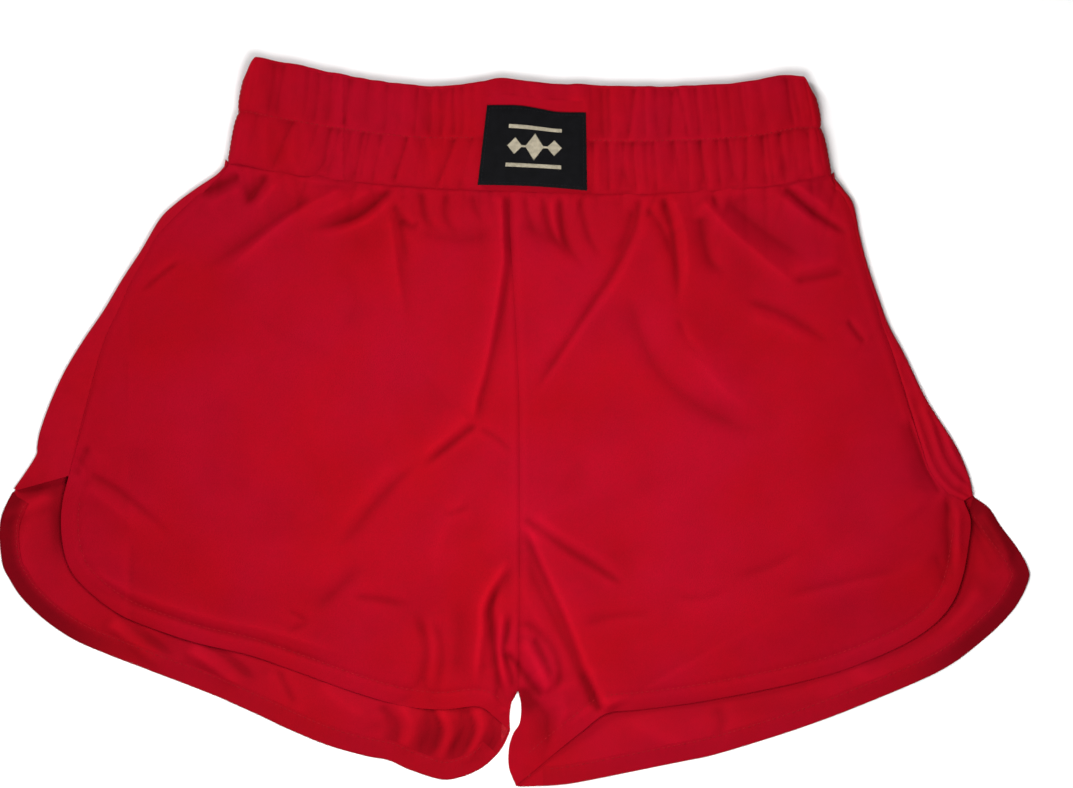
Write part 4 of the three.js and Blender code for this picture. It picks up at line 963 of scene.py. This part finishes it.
def casing_grid(side, marks, seed):
    """Waistband cloth of one face: up the outside, over the top and down the inside, and round each hip. Also
    gives the outer face's path, height share and points."""
    outside, over, inside = 62, 10, 26
    path = face_path(13, 372)[:, None]
    rho = (OUTER - INNER) / 2
    roll = rho / WAIST_HEIGHT
    up_outer = np.linspace(0, 1 - roll, outside)
    turn = np.linspace(0, math.pi, over + 2)[1:-1]
    up = np.r_[up_outer, 1 - roll + roll * np.sin(turn), np.linspace(1 - roll, 0, inside)][None]
    radius = np.r_[np.full(outside, OUTER), OUTER - rho + rho * np.cos(turn), np.full(inside, INNER)][None]
    push = np.r_[np.ones(outside), np.cos(turn), np.full(inside, -0.15)][None]
    lift = np.r_[np.zeros(outside), np.sin(turn), np.zeros(inside)][None]
    x = waist_point(path, up, OUTER, side)[..., 0]
    under_label = smooth(31, 26, np.abs(x - LABEL_AT[0])) * (up < 0.84) if side > 0 else 0 * x
    # everything but the channels' shape dies out at the hips, where the two faces are sewn together
    to_hip = 1 - smooth(0.3, 1, hip_turn(path) / (math.pi / 2))
    creases = ruches(x, up, marks, seed, 1 - 0.85 * under_label) * to_hip
    near_hip = smooth(HALF_STRAIGHT - 22, HALF_STRAIGHT, np.abs(path))
    from_seam = up - CHANNEL_SEAM
    groove = (0.15 + 0.5 * near_hip) * bell(from_seam, 0.02) + (0.25 + 0.5 * near_hip) * bell(from_seam, 0.08)
    foot = (0.9 * np.exp(-up / 0.05) + 1.2 * np.exp(-up / 0.14)) * (side > 0) * to_hip
    crown = 0.7 * smooth(0.86, 1, up)
    channel_share = np.where(from_seam < 0, up / CHANNEL_SEAM, from_seam / (1 - CHANNEL_SEAM))
    pillow = 0.22 * np.cos(math.pi * (channel_share - 0.5))
    dent = creases + groove * (1 - 0.4 * under_label) + foot + crown - pillow
    dent = np.minimum(dent, mix(3.0, 2.2, smooth(0, 0.05, up)))
    if side < 0:
        dent = np.maximum(dent, -0.2)
    points = waist_point(path, up, radius - push * dent, side)
    points[..., 1] += lift * -0.5 * creases + corner_drop(path, up)
    points[..., 2] += side * 0.2 * noise(x, up * 60, 12, seed + 5) * (push < 0) * to_hip
    return points, (path[:, 0], up_outer, points[:, :outside])


def outer_line(face, path, up, proud):
    """Line on the waistband's outer face, at places along it and up it, standing proud of the cloth."""
    paths, ups, points = face
    up = np.broadcast_to(up, path.shape)
    i = np.interp(path, paths, np.arange(len(paths)))
    j = np.interp(up, ups, np.arange(len(ups)))
    i0, j0 = np.minimum(i.astype(int), len(paths) - 2), np.minimum(j.astype(int), len(ups) - 2)
    fi, fj = (i - i0)[:, None], (j - j0)[:, None]
    lower = mix(points[i0, j0], points[i0 + 1, j0], fi)
    upper = mix(points[i0, j0 + 1], points[i0 + 1, j0 + 1], fi)
    line = mix(lower, upper, fj)
    hip = hip_turn(path)
    face_side = np.sign(line[:, 2] - LOOP_RADIUS + 1e-9)
    return line + np.column_stack([np.sign(path) * np.sin(hip), 0 * path, face_side * np.cos(hip)]) * proud


def elastic_loop(name, low, high):
    """Flat elastic in its channel: a closed loop round the waist, ribbed across by its knitted cords."""
    half = face_path(9, 220)[:-1]
    middle, thick, cords = 2.3, 0.45, 22
    ups = np.linspace(low, high, cords)
    rib = thick + 0.12 * np.cos(np.arange(cords) * math.pi)
    up, radius = np.r_[ups, ups[::-1]][None], np.r_[middle + rib, middle - rib[::-1]][None]
    faces = []
    for side, path in ((1, half[:, None]), (-1, -half[:, None])):
        face = waist_point(path, up, radius, side)
        face[..., 1] += corner_drop(path, up)
        faces.append(face)
    ring = np.concatenate(faces)
    index = np.arange(ring.shape[0] * ring.shape[1]).reshape(ring.shape[:2])
    right, above = np.roll(index, -1, 0), np.roll(index, -1, 1)
    quads = np.stack([index, above, np.roll(right, -1, 1), right], -1).reshape(-1, 4)
    return new_object(name, ring.reshape(-1, 3), quads, ELASTIC)


label_top = reader([(-1, -0.3), (-0.35, 0.5), (0.1, -0.9), (0.42, -2.0), (1, -1.4)])


def label_place(a, b, lift=0.0):
    """Place on the label from its middle: a across, b up. It bows gently and its edges sink to the cloth."""
    turn = math.radians(LABEL_TURN)
    a = a * (1 - 0.05 * b / (LABEL_SIZE[1] / 2))
    across, upward = a / (LABEL_SIZE[0] / 2), b / (LABEL_SIZE[1] / 2)
    b = b + label_top(across) * np.maximum(upward, 0) + 0.8 * across**2 * np.minimum(upward, 0)
    x = LABEL_AT[0] + a * math.cos(turn) - b * math.sin(turn)
    y = LABEL_AT[1] + a * math.sin(turn) + b * math.cos(turn)
    z = LABEL_TOP + lift - 0.55 * np.maximum(np.abs(across), np.abs(upward)) ** 6
    z = z + 0.14 * np.sin(across * 4 + 1) + 0.1 * np.cos(upward * 5) * across
    return np.stack([x, y, z], -1)


def label_grid(across, up):
    """The label's middle surface."""
    steps = (np.linspace(-size / 2, size / 2, count) for size, count in zip(LABEL_SIZE, (across, up)))
    return label_place(*np.meshgrid(*steps, indexing="ij"))


def label_outline(inset):
    """Closed stitch line round the label, inside its edge."""
    corners = np.array([(-1, -1), (1, -1), (1, 1), (-1, 1), (-1, -1)]) * (np.array(LABEL_SIZE) / 2 - inset)
    sides = [mix(p, q, np.linspace(0, 1, 60)[:, None])[:-1] for p, q in zip(corners, corners[1:])]
    a, b = np.vstack([*sides, corners[-1:]]).T
    return label_place(a, b, 0.34)


def motif(name):
    """Generic woven sign: a tall diamond between two bars, with a small diamond linked on each side. Each is
    laid in upright weft threads, side by side."""
    thread_step, shortest = 0.42, 0.5
    threads = []
    for middle, half_width, half_height in ((0, 5.2, 9.0), (-11, 4.2, 5.5), (11, 4.2, 5.5)):
        a = np.arange(middle - half_width + 0.2, middle + half_width, thread_step)
        reach = half_height * (1 - np.abs(a - middle) / half_width)
        threads.append([a, -reach, reach])
    for low, high, start, stop in ((9.3, 11.9, -15, 15), (-11.9, -9.3, -15, 15), (-0.7, 0.7, -7.4, -4.4),
                                   (-0.7, 0.7, 4.4, 7.4)):
        a = np.arange(start, stop, thread_step)
        threads.append([a, np.full_like(a, low), np.full_like(a, high)])
    a, low, high = np.concatenate([np.array(part) for part in threads], 1)
    a, low, high = (part[high - low > shortest] for part in (a, low, high))
    return thread_bars(name, label_place(a, low, 0.3), label_place(a, high, 0.3), BEIGE_THREAD, 0.5, 0.34)


# ---------- legs ----------
FRONTS, BACKS = {}, {}
for which, leg in LEGS.items():
    front, front_hem = front_grid(leg)
    back, back_hem = back_grid(leg)
    bottom = back[:BACK_U]
    FRONTS[which], BACKS[which] = front, back
    # each leg's cloth carries painted shade and highlight from its folds, and painted shade in its hollows
    front_cloth = shell(f"front_cloth_{which}", front, CLOTH, RED_CLOTH, painted_shading(front, FRONT_HOLLOW_SHADE))
    fit(front_cloth, "red_cloth", "bend", f"front_panel_{which}_leg")
    back_painted_light = painted_shading(back, BACK_HOLLOW_SHADE)
    # the painted shade and highlight are held weaker on the outer rows and round the side fold
    back_painted_light[BACK_U - 6:] *= 0.35
    back_cloth = shell(f"back_cloth_{which}", back, CLOTH, RED_INSIDE, back_painted_light)
    fit(back_cloth, "red_cloth", "bend", f"back_panel_{which}_leg")
    # The back's hem band gets painted shade that deepens towards the sides; the front's an even painted
    # shade.
    hem_facing("back", which, bottom, back_hem, 0.38, (0.04, 0.995),
               lambda x: 0.06 + 0.74 * smooth(205, 262, np.abs(x)))
    hem_facing("front", which, front, front_hem, -0.5, (0.06, 0.97), lambda x: 0.3)
    hem_stitching("front", which, front, front_hem, 0.96, 0.1)
    hem_stitching("back", which, bottom, back_hem, 0.99, 0.68)
    overlock(f"side_seam_edge_{which}", f"side_seam_overlock_{which}_leg",
             front[-7:-1, 8:-3].transpose(1, 0, 2), -0.5)
    overlock(f"inseam_edge_{which}", f"inseam_overlock_{which}_leg",
             back[1:6, 4:INSEAM_V - 2].transpose(1, 0, 2), 0.5)

rise_rows = slice(INSEAM_V + 4, PANEL_V - 8)
for face, panels, last, offset in (("front", FRONTS, PANEL_U - 6, -0.5), ("back", BACKS, BACK_U - 8, 0.5)):
    across = np.concatenate([panels["right"][2:last, -6:-1][::-1], panels["left"][2:last, -6:-1]])
    overlock(f"{face}_waist_seam_edge", f"{face}_waist_seam_overlock", across, offset)
for face, panels, offset in (("front", FRONTS, -0.5), ("back", BACKS, 0.5)):
    overlock(f"{face}_rise_edge", f"{face}_rise_overlock",
             panels["left"][1:6, rise_rows].transpose(1, 0, 2), offset)

# The care label hangs inside from the back waist seam, curling a little.
CARE_WIDTH, CARE_LENGTH = 25, 35
across, down = np.meshgrid(np.linspace(-0.5, 0.5, 26), np.linspace(0, 1, 36), indexing="ij")
care = np.dstack([WAIST_X + CARE_WIDTH * across, waist_y(0, 0) - 2 - CARE_LENGTH * down,
                  2.1 + 0.5 * down + 0.5 * np.cos(5 * across) * down])
fit(shell("care_tape", care, 0.18, SATIN), "white_satin_tape", "bend", "care_label")

# ---------- waistband ----------
THREAD_PROUD = 0.22
FACES = {}
for face, side, marks, seed in (("front", 1, FRONT_RUCHES, 41), ("back", -1, ([], []), 43)):
    casing, FACES[face] = casing_grid(side, marks, seed)
    # the waistband has painted shade in its creases and painted highlight on its ridges
    fit(shell(f"waistband_{face}", casing, CLOTH, RED_CLOTH, fold_shade_and_highlight(casing)), "red_cloth", "waistband",
        f"waistband_{face}_casing")
past_hip = HALF_STRAIGHT + 3
label_left, label_right = (LABEL_AT[0] - WAIST_X + end * (LABEL_SIZE[0] / 2 + 2) for end in (-1, 1))
for row, face, start, stop, count in (("front_channel_{}_right", "front", -past_hip, label_left, 400),
                                      ("front_channel_{}_left", "front", label_right, past_hip, 400),
                                      ("back_channel_{}", "back", -past_hip, past_hip, 500)):
    line = outer_line(FACES[face], np.linspace(start, stop, count), CHANNEL_SEAM, THREAD_PROUD)
    fit(stitches(row.format("stitches"), line, RED_THREAD), "red_thread", "waistband",
        row.format("stitching"))
for which, leg in LEGS.items():
    up = np.linspace(0.04, 0.94, 120)
    path = np.full_like(up, leg["side"] * (HALF_STRAIGHT + HIP_ARC - 0.4))
    line = outer_line(FACES["front"], path, up, THREAD_PROUD)
    fit(stitches(f"waistband_side_stitches_{which}", line, RED_THREAD), "red_thread", "waistband",
        f"waistband_side_seam_{which}")
for level, low, high in (("lower", 0.09, 0.445), ("upper", 0.535, 0.93)):
    fit(elastic_loop(f"{level}_webbing", low, high), "elastic_webbing", "waistband", f"{level}_elastic")

# ---------- label ----------
fit(shell("label_weave", label_grid(90, 70), 0.55, BLACK_WEAVE), "black_label_weave", "waistband",
    "front_label")
fit(stitches("label_stitches", label_outline(1.6), BLACK_THREAD, pitch=2.3, length=1.8, width=0.36),
    "black_label_weave", "waistband", "label_stitching")
fit(motif("label_weft_motif"), "beige_label_thread", "waistband", "label_motif")

# ---------- stage and light ----------
floor_mesh = bpy.data.meshes.new("floor")
floor_mesh.from_pydata([(-4, -4, 0), (4, -4, 0), (4, 4, 0), (-4, 4, 0)], [], [(0, 1, 2, 3)])
floor_mesh.materials.append(floor_board("matt_board_pale", "f4f4f4"))
floor = bpy.data.objects.new("floor", floor_mesh)
bpy.context.scene.collection.objects.link(floor)

world = bpy.data.worlds.new("soft_room")
bpy.context.scene.world = world
world.use_nodes = True
background = world.node_tree.nodes["Background"]
background.inputs["Color"].default_value = (1, 1, 1, 1)
background.inputs["Strength"].default_value = 0.18
# each lamp's name, place in metres, width and power; all face the garment
LAMPS = [
    ("soft_box_over", (0.01, -0.06, 0.46), 0.3, 3.3),
    ("soft_box_side", (-1.8, 1.3, 1.3), 0.8, 46.0),
    ("soft_box_fill", (1.8, 0.2, 1.4), 0.8, 9.0),
]
for name, place, size, power in LAMPS:
    lamp_data = bpy.data.lights.new(name, "AREA")
    lamp_data.size = size
    lamp_data.energy = power
    lamp = bpy.data.objects.new(name, lamp_data)
    lamp.location = place
    lamp.rotation_euler = Vector(place).to_track_quat("Z", "Y").to_euler()
    bpy.context.scene.collection.objects.link(lamp)
bpy.context.scene.view_settings.view_transform = "Standard"
